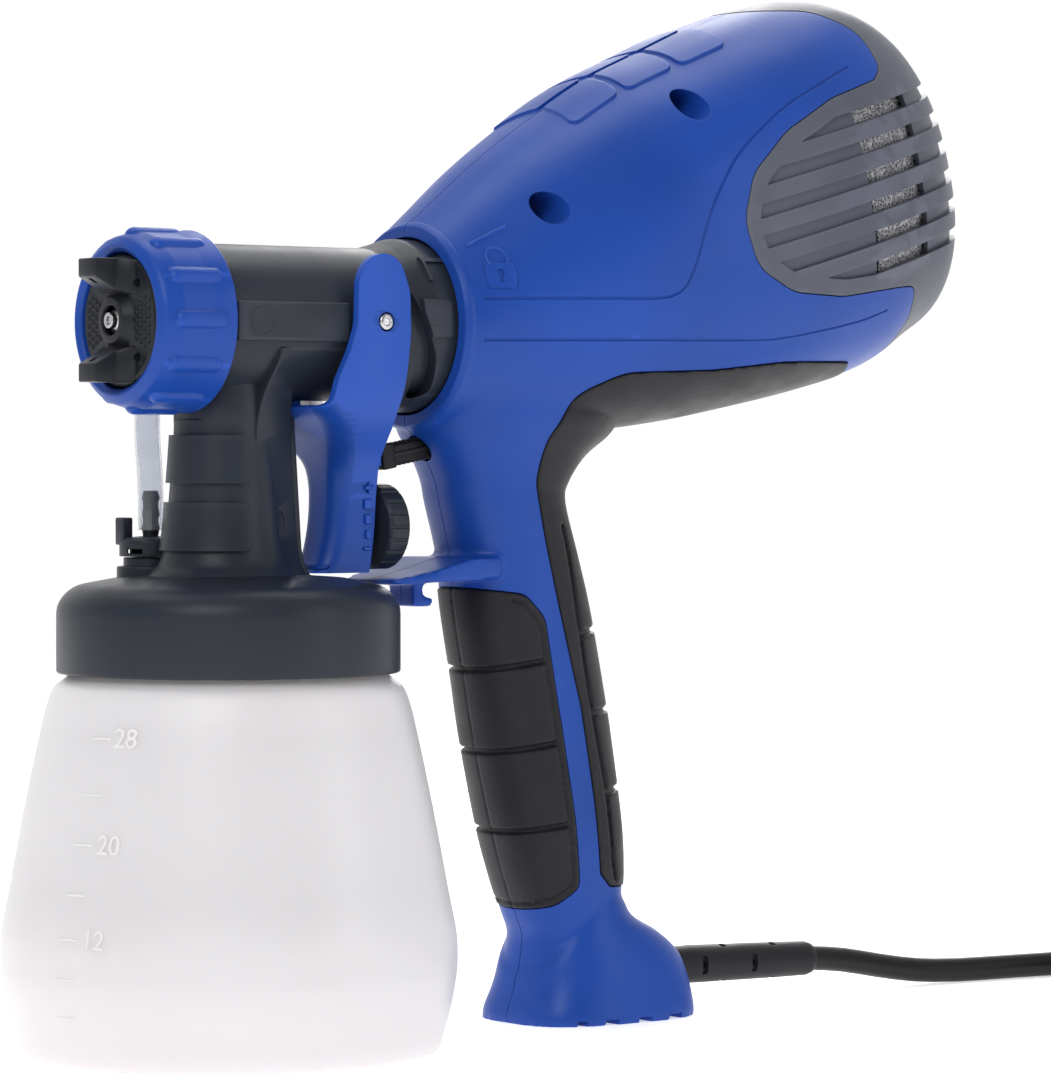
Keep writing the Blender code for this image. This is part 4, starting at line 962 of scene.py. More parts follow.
def make_head(looks):
    head = turned("head_and_lid", [
        (0, 127.2), (19, 127.2, 6), (31, 126.4, 12), (41.8, 124.4, 9), (LID_R, 119.6, 7),
        (LID_R, 101.2, 0.7), (43.9, 101.2), (43.9, 120.9), (0, 121.5),
    ], sides=160)
    fin_side = corner_arcs([
        (0, 124, 0), (27.5, 124, 0), (22.6, 127.6, 8), (20.8, 133, 20), (18.2, 172, 20), (14, 182, 6),
        (0, 184, 0),
    ])
    fin = bevelled(prism("fin", fin_side, -5, 5), 0.9)
    tube_form = level_turned("tube", [
        (0, 74.0), (21.6, 74.0), (21.6, 61.6), (COLLAR_R, 61.0, 0.4), (COLLAR_R, 53.0, 3), (22.4, 48.5, 3),
        (BARREL_R, 43.0, 2), (BARREL_R, -13.0, 0.4), (19.4, -13.1), (19.4, -27.6), (18.0, -28.6), (0, -28.6),
    ], BARREL_Z, 128)
    stem = stem_form("stem")
    cut(stem, box("front", (-40, -30, 168.6), (-13.1, 30, 195)))
    pads = []
    for number, (low, high) in enumerate(((133.9, 146.7), (151.8, 164.6))):
        shape = corner_arcs([
            (-30, low, 0), (-4.0 + number * 0.8, low, 2.2), (-4.0 + number * 0.8, high, 2.2),
            (-30, high, 0),
        ])
        pad = keep(stem_form(f"pad_{number}", 1.2), prism("side", shape, -40, 11.0))
        pads.append(pad)
    ridge = loft("ridge", [
        [
            (STEM_X + front, -wide, z), (back, -5.0 - lean, z), (back, 5.0 + lean, z),
            (STEM_X + front, wide, z),
        ]
        for z, front, wide, back, lean in smooth_rows([
            (124.0, 2.0, 19.6, 24.6, 0.0), (130.0, 2.0, 15.8, 20.4, 0.2), (138.0, 2.0, 14.2, 18.8, 0.4),
            (152.0, 2.0, 13.2, 17.4, 0.8), (166.0, 2.0, 13.4, 15.8, 2.0), (176.0, 3.0, 16.0, 13.6, 5.6),
            (184.0, 4.4, 20.4, 9.8, 12.0), (188.0, 5.0, 20.6, 7.6, 15.0),
        ], 4)
    ])
    bevelled(ridge, 1.2, 4, 40)
    panel_side = BARREL_R + 0.7
    panels = bevelled(box("panels", (-11.5, -panel_side, 189.4), (24.6, panel_side, 199.8)), 0.5)
    port = box("port", (PORT_AT[0] - 3.6, 14.0, 184.4), (PORT_AT[0] + 3.6, PORT_AT[1] + 3.4, 192.6), 1.0)
    barb = turned("barb", [
        (0, 186.0), (1.9, 186.0), (2.2, 183.6, 0.2), (1.9, 181.4, 0.2), (2.2, 180.8, 0.2), (1.6, 178.0, 0.2),
        (0, 178.0),
    ], at=(*PORT_AT, 0), sides=32)
    seat = turned("seat", [
        (0, 131.6), (7.4, 131.6, 0.3), (7.4, 129.4), (9.2, 129.2, 0.4), (9.2, 122), (0, 122),
    ], at=VALVE_AT, sides=64)
    lock_side = corner_arcs([(47.6, 191.0, 0.8), (57.4, 191.0, 0.8), (57.4, 201.4, 0.8), (47.6, 201.4, 0.8)])
    lock = keep(
        level_rod("lock", 48, 60, BARREL_Z, COLLAR_R + 0.35, 128),
        prism("side", lock_side, -40, 0),
    )
    arrow_side = [(51.6, 212.8), (51.6, 206.6), (52.7, 206.6), (52.7, 211.7), (58.8, 211.7), (58.8, 212.8)]
    arrow = keep(
        level_rod("arrow", 48, 60, BARREL_Z, COLLAR_R + 0.6, 128),
        prism("side", arrow_side, -40, 0),
    )
    join(
        head, stem, ridge, fin, tube_form, panels, port, barb, seat, lock, arrow, *pads,
        gate_mark("gate_1", -3.5, -panel_side, BARREL_Z, 3.6),
        gate_mark("gate_2", 9.5, -9.7, 141.4, 3.3, 24.7),
    )
    crescent = cut(
        level_rod("crescent", 40.0, 60.0, BARREL_Z, 27.0, 96),
        level_rod("core", 39.0, 61.0, BARREL_Z, 20.4, 96),
    )
    sweep = corner_arcs([
        (41.0, 211.0, 0), (43.2, 210.0, 1), (46.4, 202.0, 12), (49.4, 194.4, 12), (52.6, 186.6, 12),
        (55.6, 176.0, 2), (50.0, 174.0, 2), (46.8, 186.0, 10), (43.6, 198.0, 10),
    ])
    keep(crescent, prism("near", sweep, -40, -6))
    bore = level_turned("bore", [
        (0, 80), (16.5, 80), (16.5, 2.0), (5.4, 2.0), (5.4, -15.0), (16.0, -15.0), (16.0, -40), (0, -40),
    ], BARREL_Z, 64)
    cut(
        head, crescent, bore,
        rod("riser", (STEM_X, 0, 100), (STEM_X, 0, 150.4), 4.2),
        rod("way", (*VALVE_AT[:2], 100), (*VALVE_AT[:2], 140), 3.0),
        box("slot", (20.5, -3.4, 165), (38, 3.4, 184)),
    )
    done(head, looks["grey"], "head", ["spray_head"])


def make_tubes(looks):
    x, y = VALVE_AT[:2]
    route = smooth_path([
        (x, y, 139.0), (x, y, 148.0), (x, y + 0.6, 156.0), (x + 0.2, y + 1.9, 165.0), (*PORT_AT, 174.0),
        (*PORT_AT, 184.0),
    ], 2.0)
    inside = wire("cut", [(x, y, 136.0)] + route + [(*PORT_AT, 187.0)], 2.8, 32)
    hose = cut(wire("clear_hose", route, 3.5, 32), inside)
    done(hose, looks["clear"], "head", ["air_tube"])


def make_valve(looks):
    x, y = VALVE_AT[:2]
    cap = turned("valve_top_cap", [
        (0, 149.6), (1.9, 149.6, 0.2), (2.5, 147.6, 0.2), (2.1, 146.6), (2.1, 145.0), (2.5, 143.2, 0.2),
        (2.1, 142.2), (2.1, 141.0), (2.5, 139.6, 0.2), (2.1, 137.4), (7.6, 137.0, 0.6),
        (8.5, 136.0, 0.5), (8.5, 131.9, 0.2), (7.9, 131.9), (7.9, 133.8), (0, 133.8),
    ], at=VALVE_AT, sides=72)
    lever = box("lever", (x - 8.3, y + 1.0, 135.0), (x - 5.0, y + 5.0, 142.4), 0.5)
    join(cap, lever)
    slots = []
    for k in range(4):
        angle = math.radians(25 + 90 * k)
        bar = box(f"slot_{k}", (5.6, -2.4, 132.6), (11.0, 2.4, 134.0))
        bar.data.transform(Matrix.Translation(mm((x, y, 0))) @ Matrix.Rotation(angle, 4, "Z"))
        slots.append(bar)
    cut(cap, rod("way", (x, y, 130), (x, y, 152), 0.9), *slots)
    done(cap, looks["grey"], "valve_top", ["valve_cap"])


def make_ring(looks):
    ring = level_turned("collar_ring", [
        (24.4, -13.4, 0.5), (23.5, -20.0, 8), (23.5, -29.4, 5), (22.2, -34.4, 2.6), (19.6, -36.0, 0.8),
        (18.0, -34.8, 0.8), (18.0, -29.4), (19.8, -29.4), (19.8, -13.4),
    ], BARREL_Z, 144)
    ribs = []
    rib_count = 12
    for k in range(rib_count):
        angle = 2 * math.pi * k / rib_count
        spoke = Vector((0, math.cos(angle), math.sin(angle)))
        foot = Vector((0, 0, BARREL_Z)) + spoke * 21.8
        ribs.append(pill(f"rib_{k}", foot + Vector((-32.4, 0, 0)), foot + Vector((-15.4, 0, 0)), 2.9))
    join(ring, *ribs)
    done(ring, looks["blue"], "ring", ["cap_ring"])


def make_air_cap(looks):
    cap = level_turned("spray_air_cap", [
        (17.5, -34.0, 0.4), (17.5, -29.8), (15.4, -29.8), (15.4, -32.8), (6.6, -33.2), (4.0, -36.6),
        (4.0, -37.6, 0.2), (5.8, -37.4, 0.5), (8.2, -34.9, 1.0), (16.6, -34.7, 0.5),
    ], BARREL_Z, 128)
    for side in (1, -1):
        sections = [
            [(-33.8, -10.4, 7.0), (-33.8, 10.4, 7.0), (-33.8, 8.4, 15.9), (-33.8, -8.4, 15.9)],
            [(-36.0, -6.6, 7.0), (-36.0, 6.6, 7.0), (-36.0, 6.2, 16.2), (-36.0, -6.2, 16.2)],
            [(-38.6, -4.6, 8.0), (-38.6, 4.6, 8.0), (-38.6, 4.5, 16.3), (-38.6, -4.5, 16.3)],
            [(-44.8, -4.2, 11.4), (-44.8, 4.2, 11.4), (-44.8, 4.2, 16.2), (-44.8, -4.2, 16.2)],
        ]
        horn = loft(f"horn_{side}", [
            [(x, y, BARREL_Z + side * z) for x, y, z in section] for section in sections
        ])
        join(cap, bevelled(horn, 0.45, 3, 20))
    holes = []
    for side in (1, -1):
        for reach in (9.4, 12.4):
            tip = (-41.6 + (reach - 9.4) * 0.2, 0, BARREL_Z + side * (reach + 2.0))
            way = (tip[0] - 4.0, 0, BARREL_Z + side * (reach - 5.0))
            holes.append(rod(f"horn_hole_{side}_{reach}", tip, way, 0.85, sides=24))
    for y in (-8.8, 8.8):
        for z in (-9.8, 9.8):
            start, end = (-40, y, BARREL_Z + z), (-28, y, BARREL_Z + z)
            holes.append(rod(f"hole_{y}_{z}", start, end, 1.25, sides=32))
    cut(cap, *holes)
    dents = []
    step = 2.15
    facing = Matrix.Rotation(-math.pi / 2, 4, "Y")
    for row in range(-4, 5):
        for column in range(4):
            y = 8.6 + column * step * 0.87
            z = (row + 0.5 * (column % 2)) * step
            if math.hypot(y, z) > 15.6 or abs(z) > y * 0.62 + 0.4:
                continue
            for side in (-1, 1):
                dent = turned(f"dent_{row}_{column}_{side}", [
                    (0, -0.6), (0.34, -0.6, 0.2), (0.92, 0.0), (0.92, 0.6), (0, 0.6),
                ], sides=14, steps=2)
                dent.data.transform(Matrix.Translation(mm((-34.72, side * y, BARREL_Z + z))) @ facing)
                dents.append(dent)
    cut(cap, *dents)
    done(cap, looks["cap"], "spray_cap", ["air_cap"])


def make_nozzle(looks):
    nozzle = level_turned("brass_free_nozzle", [
        (2.1, -38.2, 0.2), (2.1, -36.6), (2.9, -36.0, 0.2), (6.0, -33.0), (8.0, -32.6), (8.0, -15.4),
        (5.0, -15.2), (5.0, -8.0), (3.2, -8.0), (3.2, -30.0), (1.1, -36.0), (1.1, -38.2, 0.1),
    ], BARREL_Z, 64)
    done(nozzle, looks["steel"], "head", ["fluid_nozzle"])
    for name, side in (("trigger_pin_left", -1), ("trigger_pin_right", 1)):
        pin = turned(name + "_rivet", [
            (0, 0), (2.2, 0), (2.2, 3.6, 0.5), (1.2, 4.0, 0.3), (0.9, 3.4), (0, 3.4),
        ], sides=48)
        outwards = Matrix.Rotation(side * -math.pi / 2, 4, "X")
        pin.data.transform(Matrix.Translation(mm((PIVOT[0], side * 21.3, PIVOT[2]))) @ outwards)
        done(pin, looks["steel"], "head", [name])


# ---------------------------------------------------------------- trigger


def trigger_outline(front, back, half, wall):
    """One level of the trigger's channel, open at the back, with rounded corners."""
    round_out = min(half * 0.62, 6.0)
    round_in = max(0.6, round_out - wall)
    corners = [
        (front, -half, round_out), (front, half, round_out), (back, half, 0.7), (back, half - wall, 0.7),
        (front + wall, half - wall, round_in), (front + wall, -half + wall, round_in),
        (back, -half + wall, 0.7), (back, -half, 0.7),
    ]
    return corner_arcs(corners[::-1], 6)


def make_trigger(looks):
    # Height, front, back and half width of the channel; its front wall ends where the ears begin
    rows = smooth_rows([
        (127.3, 24.0, 41.2, 7.6), (129.0, 25.4, 41.6, 7.7), (132.0, 27.0, 42.0, 7.8),
        (138.5, 28.6, 42.8, 7.9), (145.0, 29.4, 43.4, 8.0), (152.0, 29.4, 44.0, 8.6),
        (158.0, 28.2, 44.6, 11.0), (163.0, 24.8, 45.4, 15.4), (167.0, 20.8, 46.4, 19.4),
        (171.0, 15.6, 47.6, 22.4), (176.0, 11.0, 49.0, 24.2), (184.0, 8.0, 50.0, 24.8),
        (200.0, 8.0, 50.0, 24.8), (214.6, 8.0, 50.0, 24.8),
    ], 5)
    channel = loft("finger_trigger", [
        [(x, y, z) for x, y in trigger_outline(front, back, half, 2.4)] for z, front, back, half in rows
    ])
    side = corner_arcs([
        (10.0, 126.0, 0), (41.4, 126.0, 0), (42.6, 140.0, 20), (43.0, 152.0, 14), (42.0, 160.0, 14),
        (39.4, 170.6, 14), (41.2, 181.0, 14), (42.4, 192.0, 20), (42.2, 203.0, 10), (38.6, 212.6, 7),
        (28.6, 213.8, 8), (25.2, 206.0, 8), (24.9, 194.0, 14), (22.4, 187.0, 14), (18.6, 179.4, 10),
        (17.4, 172.6, 3), (10.0, 171.4, 0),
    ], 10)
    keep(channel, prism("side", side, -40, 40))
    bevelled(channel, 0.5, 3, 50)
    floor_shape = corner_arcs([(25.0, -7.2, 4), (41.2, -7.2, 0.7), (41.2, 7.2, 0.7), (25.0, 7.2, 4)])
    floor = prism("floor", floor_shape, 127.3, 129.4, "XY")
    marks = [
        box("plus_1", (38.7, -9.2, 149.9), (41.7, -7.2, 150.8), 0.15),
        box("plus_2", (39.8, -9.2, 148.9), (40.6, -7.2, 151.8), 0.15),
        box("bar_1", (38.8, -8.8, 144.6), (41.2, -7.2, 147.2), 0.2),
        box("bar_2", (39.1, -8.7, 140.6), (41.0, -7.2, 143.0), 0.2),
        box("bar_3", (39.4, -8.6, 136.6), (40.8, -7.2, 138.8), 0.2),
        box("minus", (38.8, -8.5, 133.4), (41.2, -7.2, 134.2), 0.15),
    ]
    join(
        channel, floor,
        box("crossbar", (39.0, -9.6, 156.2), (41.4, 9.6, 161.8), 0.4),
        box("pad", (40.4, -3.6, 156.2), (PLUNGER_AT[0] - 0.5, 3.6, 160.6), 0.4),
        box("nut", (31.6, -5.6, 134.0), (39.0, 5.6, 145.4), 0.5), *marks,
    )
    cut(
        channel, rod("pivot", (PIVOT[0], -30, PIVOT[2]), (PIVOT[0], 30, PIVOT[2]), 2.6),
        level_rod("screw", 33.0, 44, KNOB_Z, 3.0),
    )
    done(channel, looks["blue"], "trigger_body", ["trigger"])


def make_knob(looks):
    knob = level_turned("flow_knob_grip", [
        (0, KNOB_BACK), (8.6, KNOB_BACK), (9.0, KNOB_BACK, 0.2), (KNOB_R, KNOB_BACK - 1.4, 0.8),
        (KNOB_R, KNOB_FRONT + 0.8, 0.5), (10.8, KNOB_FRONT, 0.4), (4.0, KNOB_FRONT, 0.3),
        (4.0, 40.0), (0, 40.0),
    ], KNOB_Z, 128)
    grooves = []
    groove_count = 20
    for k in range(groove_count):
        angle = 2 * math.pi * k / groove_count
        y, z = KNOB_R * math.cos(angle), KNOB_Z + KNOB_R * math.sin(angle)
        grooves.append(rod(f"groove_{k}", (KNOB_FRONT - 1, y, z), (KNOB_BACK + 1, y, z), 0.55, sides=12))
    cut(knob, *grooves)
    dish = level_turned("dish", [
        (7.6, KNOB_BACK + 1), (7.6, KNOB_BACK - 1.0, 0.4), (3.2, KNOB_BACK - 1.0), (3.2, KNOB_BACK + 1),
    ], KNOB_Z, 96)
    cut(knob, dish, level_rod("socket", 38, 48, KNOB_Z, 2.8))
    done(knob, looks["grey"], "knob", ["flow_knob"])


# ---------------------------------------------------------------- housing


def body_form(name, offset, first=0, steps=6, sides=112):
    """The motor body, grown by offset, from row `first` of its sections."""
    rings = []
    for cx, cz, tilt, high, wide, power, end in smooth_rows(BODY_ROWS[first:], steps):
        s, c = math.sin(math.radians(tilt)), math.cos(math.radians(tilt))
        cx += offset * end * math.cos(COVER_TILT)
        cz += offset * end * math.sin(COVER_TILT)
        rings.append([
            (cx - s * v * (high + offset), u * (wide + offset), cz + c * v * (high + offset))
            for u, v in oval(sides, power)
        ])
    return loft(name, rings)


def handle_form(name, offset, highest=200.0):
    """The handle and the foot, grown by offset, up to a height."""
    return loft(name, [
        [(cx + u * (deep + offset), v * (wide + offset), z) for u, v in oval(80, power)]
        for z, cx, deep, wide, power in smooth_rows(HANDLE_ROWS, 5) if z <= highest
    ])


def tilted_box(name, low, high, at, tilt):
    block = box(name, low, high)
    block.data.transform(Matrix.Translation(mm(at)) @ Matrix.Rotation(-tilt, 4, "Y"))
    return block


def shelf_form():
    """The finger shelf in front of the handle, thin at its front, and the hook under it."""
    side = corner_arcs([
        (45.8, 123.6, 0.8), (60.0, 124.6, 0), (88.0, 125.6, 0), (88.0, 131.0, 0), (70.0, 131.0, 4),
        (58.0, 127.8, 6), (45.8, 125.0, 0.4),
    ])
    plan = corner_arcs([
        (46.6, -12.0, 3), (58.0, -16.6, 8), (72.0, -17.2, 3), (81.0, -15.0, 3), (90.0, 0, 0),
        (81.0, 15.0, 3), (72.0, 17.2, 3), (58.0, 16.6, 8), (46.6, 12.0, 3),
    ])
    shelf = keep(prism("shelf", side, -30, 30), prism("plan", plan, 110, 140, "XY"))
    hook = prism("hook", corner_arcs([
        (57.4, 127.0, 0), (57.4, 117.6, 0.8), (64.0, 117.6, 0.8), (64.0, 120.0, 0.6), (60.4, 120.4, 0.6),
        (61.4, 127.0, 0),
    ]), -6.0, 6.0)
    return join(shelf, hook)


def rear_skin(name, outside, inside, grow):
    """The layer of the body and handle that the rear grip fills, or its pocket."""
    outer = join(body_form(name, outside), handle_form("handle", outside))
    inner = join(body_form("inner", inside), handle_form("inner_handle", inside))
    keep(outer, slab("side", grown_outline(REAR_GRIP, grow), -70, 70))
    return cut(outer, inner)


def line_on(tree, places, side, radius):
    """A round bar lying half in the skin through (x, z) places, for a groove or a raised line."""
    points = [on_side(tree, x, z, side) for x, z in smooth_xz(places)]
    return wire("line", [p for p in points if p], radius, 8)


def smooth_xz(places):
    return [(x, z) for x, _, z in smooth_path([(x, 0, z) for x, z in places], 3.0)]


def housing_marks(tree):
    """Raised tiles on the top on both sides, and a padlock sign and a short line by the collar on the left.
    """
    marks = []
    grown = 0.75
    for side in (-1, 1):
        for k, (front, back) in enumerate(((106.0, 121.6), (124.0, 139.8), (142.2, 158.2))):
            wide = 19.0 + 1.6 * k
            tile = corner_arcs([
                (front, side * 1.5, 1.0), (back, side * 1.5, 1.0),
                (back - 3.4, side * (wide + 1), 2.4), (front - 3.4, side * wide, 2.4),
            ])
            marks.append(keep(body_form("tile", grown), prism("plan", tile, 225, 320, "XY")))
    lock = corner_arcs([(65.4, 204.6, 1.0), (73.2, 204.6, 1.0), (73.2, 211.4, 1.0), (65.4, 211.4, 1.0)])
    plate = keep(body_form("lock", 0.5), prism("side", lock, -60, 0))
    cut(plate, rod("keyhole", (69.3, -60, 208.8), (69.3, 0, 208.8), 0.9, sides=24))
    cut(plate, box("keyway", (68.9, -60, 206.2), (69.7, 0, 208.8)))
    marks.append(plate)
    shackle = [
        (69.3 + 2.5 * math.cos(a), 212.6 + 2.9 * math.sin(a))
        for a in (math.pi * k / 10 for k in range(-2, 13))
    ]
    points = [on_side(tree, x, z) for x, z in shackle]
    marks.append(wire("shackle", points, 0.6, 8))
    marks.append(line_on(tree, [(63.6, 216.0), (68.0, 218.4), (74.3, 221.7)], -1, 0.5))
    return marks


def panel_grooves(tree):
    upper = [
        (64.0, 201.7), (85.0, 202.0), (102.0, 202.2), (114.0, 202.4), (120.7, 204.2), (124.4, 210.0),
        (128.9, 224.1), (134.0, 234.0), (142.1, 244.1), (158.0, 256.0), (171.5, 262.9), (186.6, 269.7),
    ]
    lower = [
        (64.0, 190.4), (110.0, 190.9), (144.0, 191.3), (160.0, 192.1), (179.0, 195.2), (191.5, 197.7),
        (202.0, 200.8),
    ]
    return [line_on(tree, places, side, 0.42) for places in (upper, lower) for side in (-1, 1)]


def make_housing(looks):
    mound = keep(handle_form("mound", 0.9, highest=36.0), prism("rear", corner_arcs([
        (91.0, -2.0, 0), (92.0, 5.0, 10), (98.0, 14.5, 20), (108.0, 25.6, 20), (118.5, 33.0, 6),
        (170.0, 33.0, 0), (170.0, -2.0, 0),
    ]), -40, 40))
    keep(mound, box("above", (60, -60, 0.0), (200, 60, 60)))
    skin = join(body_form("housing", 0.0), handle_form("handle", 0.0), shelf_form(), mound)
    remeshed(skin, 0.9)

    def blend_here(p):
        across = 1.0 - abs(p.z - 168.0) / 15.0
        ahead = min(1.0, (p.x - 64.0) / 5.0, (134.0 - p.x) / 8.0)
        return max(0.0, min(across * 1.6, ahead))

    relaxed(skin, blend_here, 70)
    relaxed(skin, lambda p: min(1.0, max(0.0, min(p.z - 3.0, 38.0 - p.z) / 4.0)), 14)
    relaxed(skin, lambda p: 1.0 if p.z > 2.0 else 0.0, 2)
    lip = level_turned("lip", [
        (24.5, 58.6), (27.6, 58.6, 0.9), (28.7, 60.2, 0.8), (28.7, 62.4, 0.6), (24.5, 62.4),
    ], BARREL_Z, 128)
    join(skin, lip)
    tree = skin_of(skin)
    join(skin, *housing_marks(tree))
    for x, z in SCREW_PLACES:
        cut(skin, rod("screw_way", (x, -60, z), (x, -11.6, z), 4.6, sides=48))
    front_way = keep(
        handle_form("front_way", 6.0), slab("side", grown_outline(FRONT_GRIP, GAP), -40, 40),
    )
    cut(front_way, handle_form("floor", -GRIP_DEEP - GAP))
    cut(skin, front_way)
    cut(skin, rear_skin("rear_way", 6.0, -GRIP_DEEP - GAP, GAP))
    cut(skin, slab("cover_way", grown_outline(COVER, GAP), -70, 70))
    cut(skin, level_rod("collar_way", 50, 76, BARREL_Z, 24.4, 128))
    inside = body_form("inside", -WALL, first=2, steps=2, sides=64)
    bosses = [
        rod(f"boss_{k}", (x, -13.6, z), (x, -60, z), 6.0, sides=48) for k, (x, z) in enumerate(SCREW_PLACES)
    ]
    cut(inside, *bosses)
    cut(skin, inside)
    cut(skin, rod(
        "plunger_way", along(PLUNGER_AT, PLUNGER_TILT, 6), along(PLUNGER_AT, PLUNGER_TILT, 40), 3.9,
    ))
    cut(skin, rod("relief_way", along(RELIEF_AT, RELIEF_TILT, -10), along(RELIEF_AT, RELIEF_TILT, 10), 5.7))
    foot_notches = ((103.6, 106.4), (112.0, 116.4), (123.6, 128.4), (135.0, 140.4))
    cut(skin, *[
        box(f"notch_{k}", (low, -40, -1.0), (high, 40, 1.5)) for k, (low, high) in enumerate(foot_notches)
    ])
    cut(skin, *panel_grooves(tree))
    for name, low, high in (("left", -90, -GAP / 2), ("right", GAP / 2, 90)):
        half = new_object(f"housing_shell_{name}", skin.data.copy())
        keep(half, box("side", (0, low, -10), (300, high, 320)))
        done(half, looks["blue"], "gun_body", [f"housing_{name}"])
    bpy.data.objects.remove(skin, do_unlink=True)


def notch_bars(places, slope, thick, front, back):
    """Slanting strips across a grip, one for each height."""
    bars = []
    for k, (x, z) in enumerate(places):
        shape = [
            (front, z + (front - x) * slope - thick / 2), (back, z + (back - x) * slope - thick / 2),
            (back, z + (back - x) * slope + thick / 2), (front, z + (front - x) * slope + thick / 2),
        ]
        bars.append(prism(f"bar_{k}", shape, -60, 60))
    return bars


def make_grips(looks):
    grip = keep(
        handle_form("front_grip_pads", GRIP_PROUD),
        slab("side", FRONT_GRIP, -40, 40),
    )
    cut(grip, handle_form("core", -GRIP_DEEP))
    bars = notch_bars(((82.6, 100.2), (86.5, 77.2), (92.6, 54.8)), 0.17, 1.7, 60, 125)
    border = cut(
        slab("border", grown_outline(FRONT_GRIP, -1.3), -40, 40),
        slab("border_in", grown_outline(FRONT_GRIP, -2.3), -50, 50),
    )
    keep(border, box("behind", (84, -50, 30), (120, 50, 124)))
    inset = slab("inset", grown_outline(FRONT_GRIP, -2.0), -60, 60)
    for bar in bars:
        keep(bar, new_object("inset", inset.data.copy()))
        cut(bar, handle_form("floor", -1.0))
    bpy.data.objects.remove(inset, do_unlink=True)
    cut(border, handle_form("floor", -0.35))
    seam = cut(box("seam", (60, -0.3, 31), (100, 0.3, 124)), handle_form("floor", -0.1))
    cut(grip, border, seam, *bars)
    remeshed(grip, 0.42)
    relaxed(grip, lambda p: 1.0, 3)
    done(grip, looks["rubber"], "gun_body", ["front_grip"], angle=60)

    rear = rear_skin("rear_grip_pads", GRIP_PROUD, -GRIP_DEEP, 0.0)
    spine = [(118.8, 110.6), (118.8, 87.6), (121.0, 65.2)]
    bars = notch_bars(spine, 0.12, 1.8, 100, 150)
    edge = smooth_xz([
        (100.6, 140.0), (103.2, 130.0), (106.4, 112.0), (111.0, 86.0), (115.4, 65.0), (118.2, 44.0),
        (120.0, 39.6),
    ])
    strip = prism("edge", edge + [(x + 1.5, z + 0.2) for x, z in edge[::-1]], -60, 60)
    keep(strip, prism("behind", [(95, 34), (150, 34), (150, 142), (95, 142)], -60, 60))
    region = edge + [(160, 40), (160, 140)]
    for bar in bars:
        keep(bar, prism("behind", region, -60, 60))
        cut(bar, handle_form("floor", -0.8))
    cut(strip, handle_form("floor", -1.0))
    cut(rear, *bars, strip)
    remeshed(rear, 0.5)
    relaxed(rear, lambda p: 1.0, 3)
    done(rear, looks["rubber"], "gun_body", ["rear_grip"], angle=60)


def make_cover(looks):
    cover = keep(body_form("vent_cover", 0.0), slab("side", COVER, -70, 70))
    cut(cover, body_form("inside", -WALL, first=2, steps=2, sides=64))
    bands = []
    slots = []
    for k in range(6):
        middle = (197.0 + 1.8 * k, 0, 258.2 - 8.4 * k)
        bands.append(tilted_box(f"band_{k}", (-70, -70, -1.9), (70, 70, 1.9), middle, COVER_TILT))
        slots.append(tilted_box(f"slot_{k}", (-13, -70, -1.9), (13, 70, 1.9), middle, COVER_TILT))
    inset = slab("inset", grown_outline(COVER, -4.6), -70, 70)
    recess = bands[0]
    join(recess, *bands[1:])
    keep(recess, inset)
    cut(recess, body_form("floor", -1.15, steps=4))
    cut(cover, recess, *slots)
    done(cover, looks["cover"], "cover", ["rear_cover"])


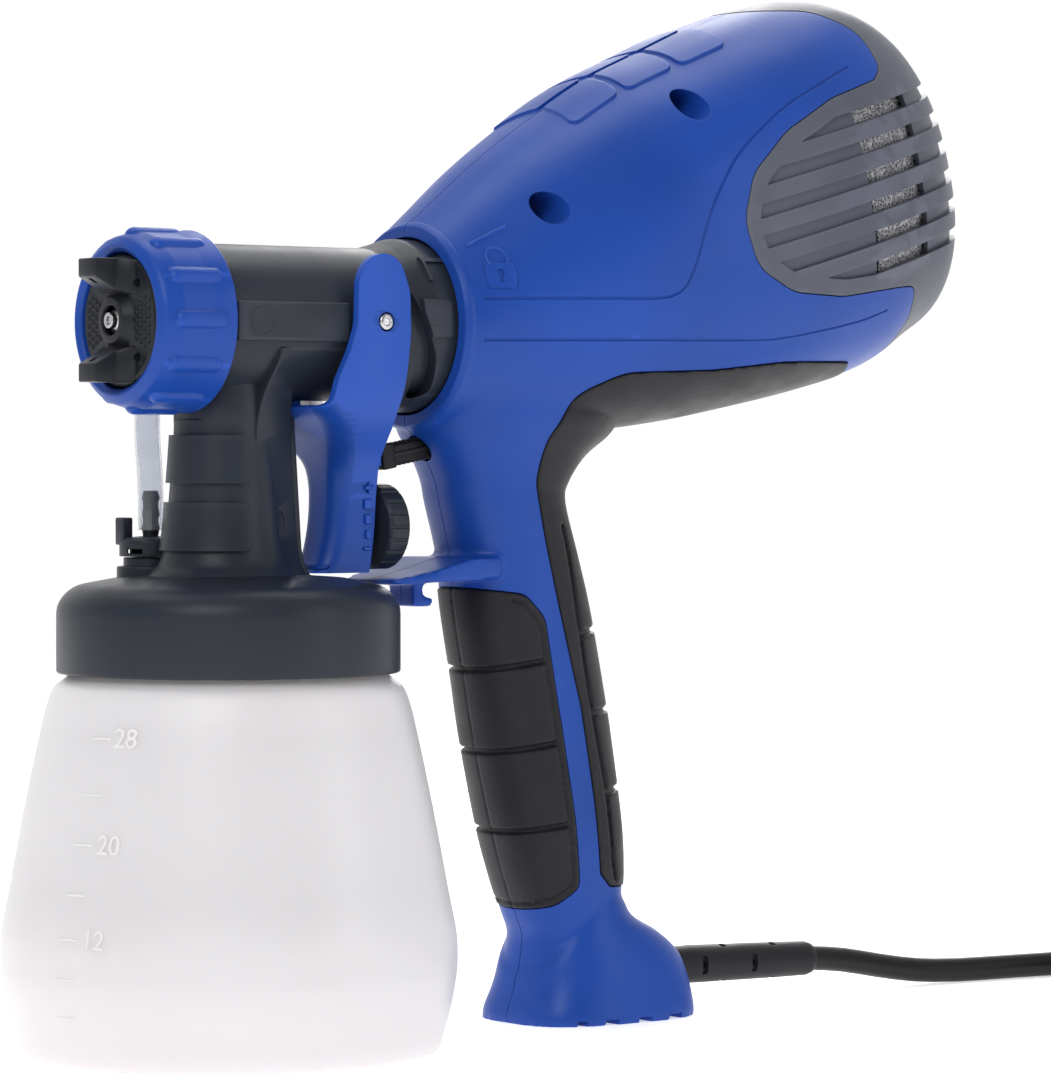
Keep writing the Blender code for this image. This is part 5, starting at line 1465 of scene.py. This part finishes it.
def make_plunger(looks):
    """A block head on a flat bar with a ribbed top, and the round tip that meets the switch."""

    def block(name, near, far, wide, low, high, soft):
        piece = box(name, (near, -wide, low), (far, wide, high), soft)
        turn = Matrix.Rotation(-PLUNGER_TILT, 4, "Y")
        piece.data.transform(Matrix.Translation(mm(PLUNGER_AT)) @ turn)
        return piece

    head = block("switch_button", 0.0, 4.4, 3.6, -3.4, 3.6, 0.5)
    tip = rod("tip", along(PLUNGER_AT, PLUNGER_TILT, 26.0), along(PLUNGER_AT, PLUNGER_TILT, 29.4), 1.6)
    ribs = [block(f"rib_{k}", 5.0 + 1.5 * k, 5.8 + 1.5 * k, 1.7, 2.2, 3.2, 0.12) for k in range(10)]
    feet = [block(f"foot_{k}", 5.0 + 1.5 * k, 5.8 + 1.5 * k, 1.7, -3.2, -2.2, 0.12) for k in range(10)]
    bar = block("bar", 4.0, 26.4, 2.1, -2.6, 2.6, 0.3)
    join(head, bar, block("rail", 4.2, 20.0, 2.5, -0.6, 0.6, 0.2), tip)
    join(head, *ribs, *feet)
    done(head, looks["black"], "plunger", ["switch_plunger"])


def make_screws(looks):
    for number, (x, z) in enumerate(SCREW_PLACES, 1):
        screw = turned(f"body_screw_{number}", [
            (0, 2.4), (2.2, 2.3, 0.5), (3.8, 1.6, 0.6), (3.8, 0.3), (1.7, 0.2), (1.7, -22.0), (0, -23.0),
        ], sides=40)
        cross = [
            box(f"cross_{half_x}", (-half_x, -half_y, 1.0), (half_x, half_y, 4.0))
            for half_x, half_y in ((2.2, 0.4), (0.4, 2.2))
        ]
        cut(screw, *cross)
        screw.data.transform(Matrix.Translation(mm((x, -11.9, z))) @ Matrix.Rotation(math.pi / 2, 4, "X"))
        done(screw, looks["steel"], "gun_body", [f"housing_screw_{number}"])


# ---------------------------------------------------------------- the pieces that stay as packed


KEPT = {
    "foam": ["air_filter"],
    "black": ["motor_mount", "turbine_casing", "power_switch", "jar_gasket", "valve_disc"],
    "steel": ["motor_can", "motor_shaft", "needle", "needle_spring", "plunger_spring", "knob_screw"],
    "aluminium": ["impeller_front", "impeller_rear"],
    "brass": ["packing_nut", "plug_pin_left", "plug_pin_right"],
    "clear": ["pickup_tube"],
}


def dress_kept(looks):
    for look, names in KEPT.items():
        for name in names:
            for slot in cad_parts[name].material_slots:
                slot.material = looks[look]


def main():
    look_from_photo()
    studio()
    looks = make_materials()
    cord = make_cord(looks)
    tie = make_tie(looks)
    make_relief(looks)
    plug = make_plug(looks)
    make_jar(looks)
    make_head(looks)
    make_tubes(looks)
    make_valve(looks)
    make_ring(looks)
    make_air_cap(looks)
    make_nozzle(looks)
    make_trigger(looks)
    make_knob(looks)
    make_housing(looks)
    make_grips(looks)
    make_cover(looks)
    make_plunger(looks)
    make_screws(looks)
    dress_kept(looks)


main()
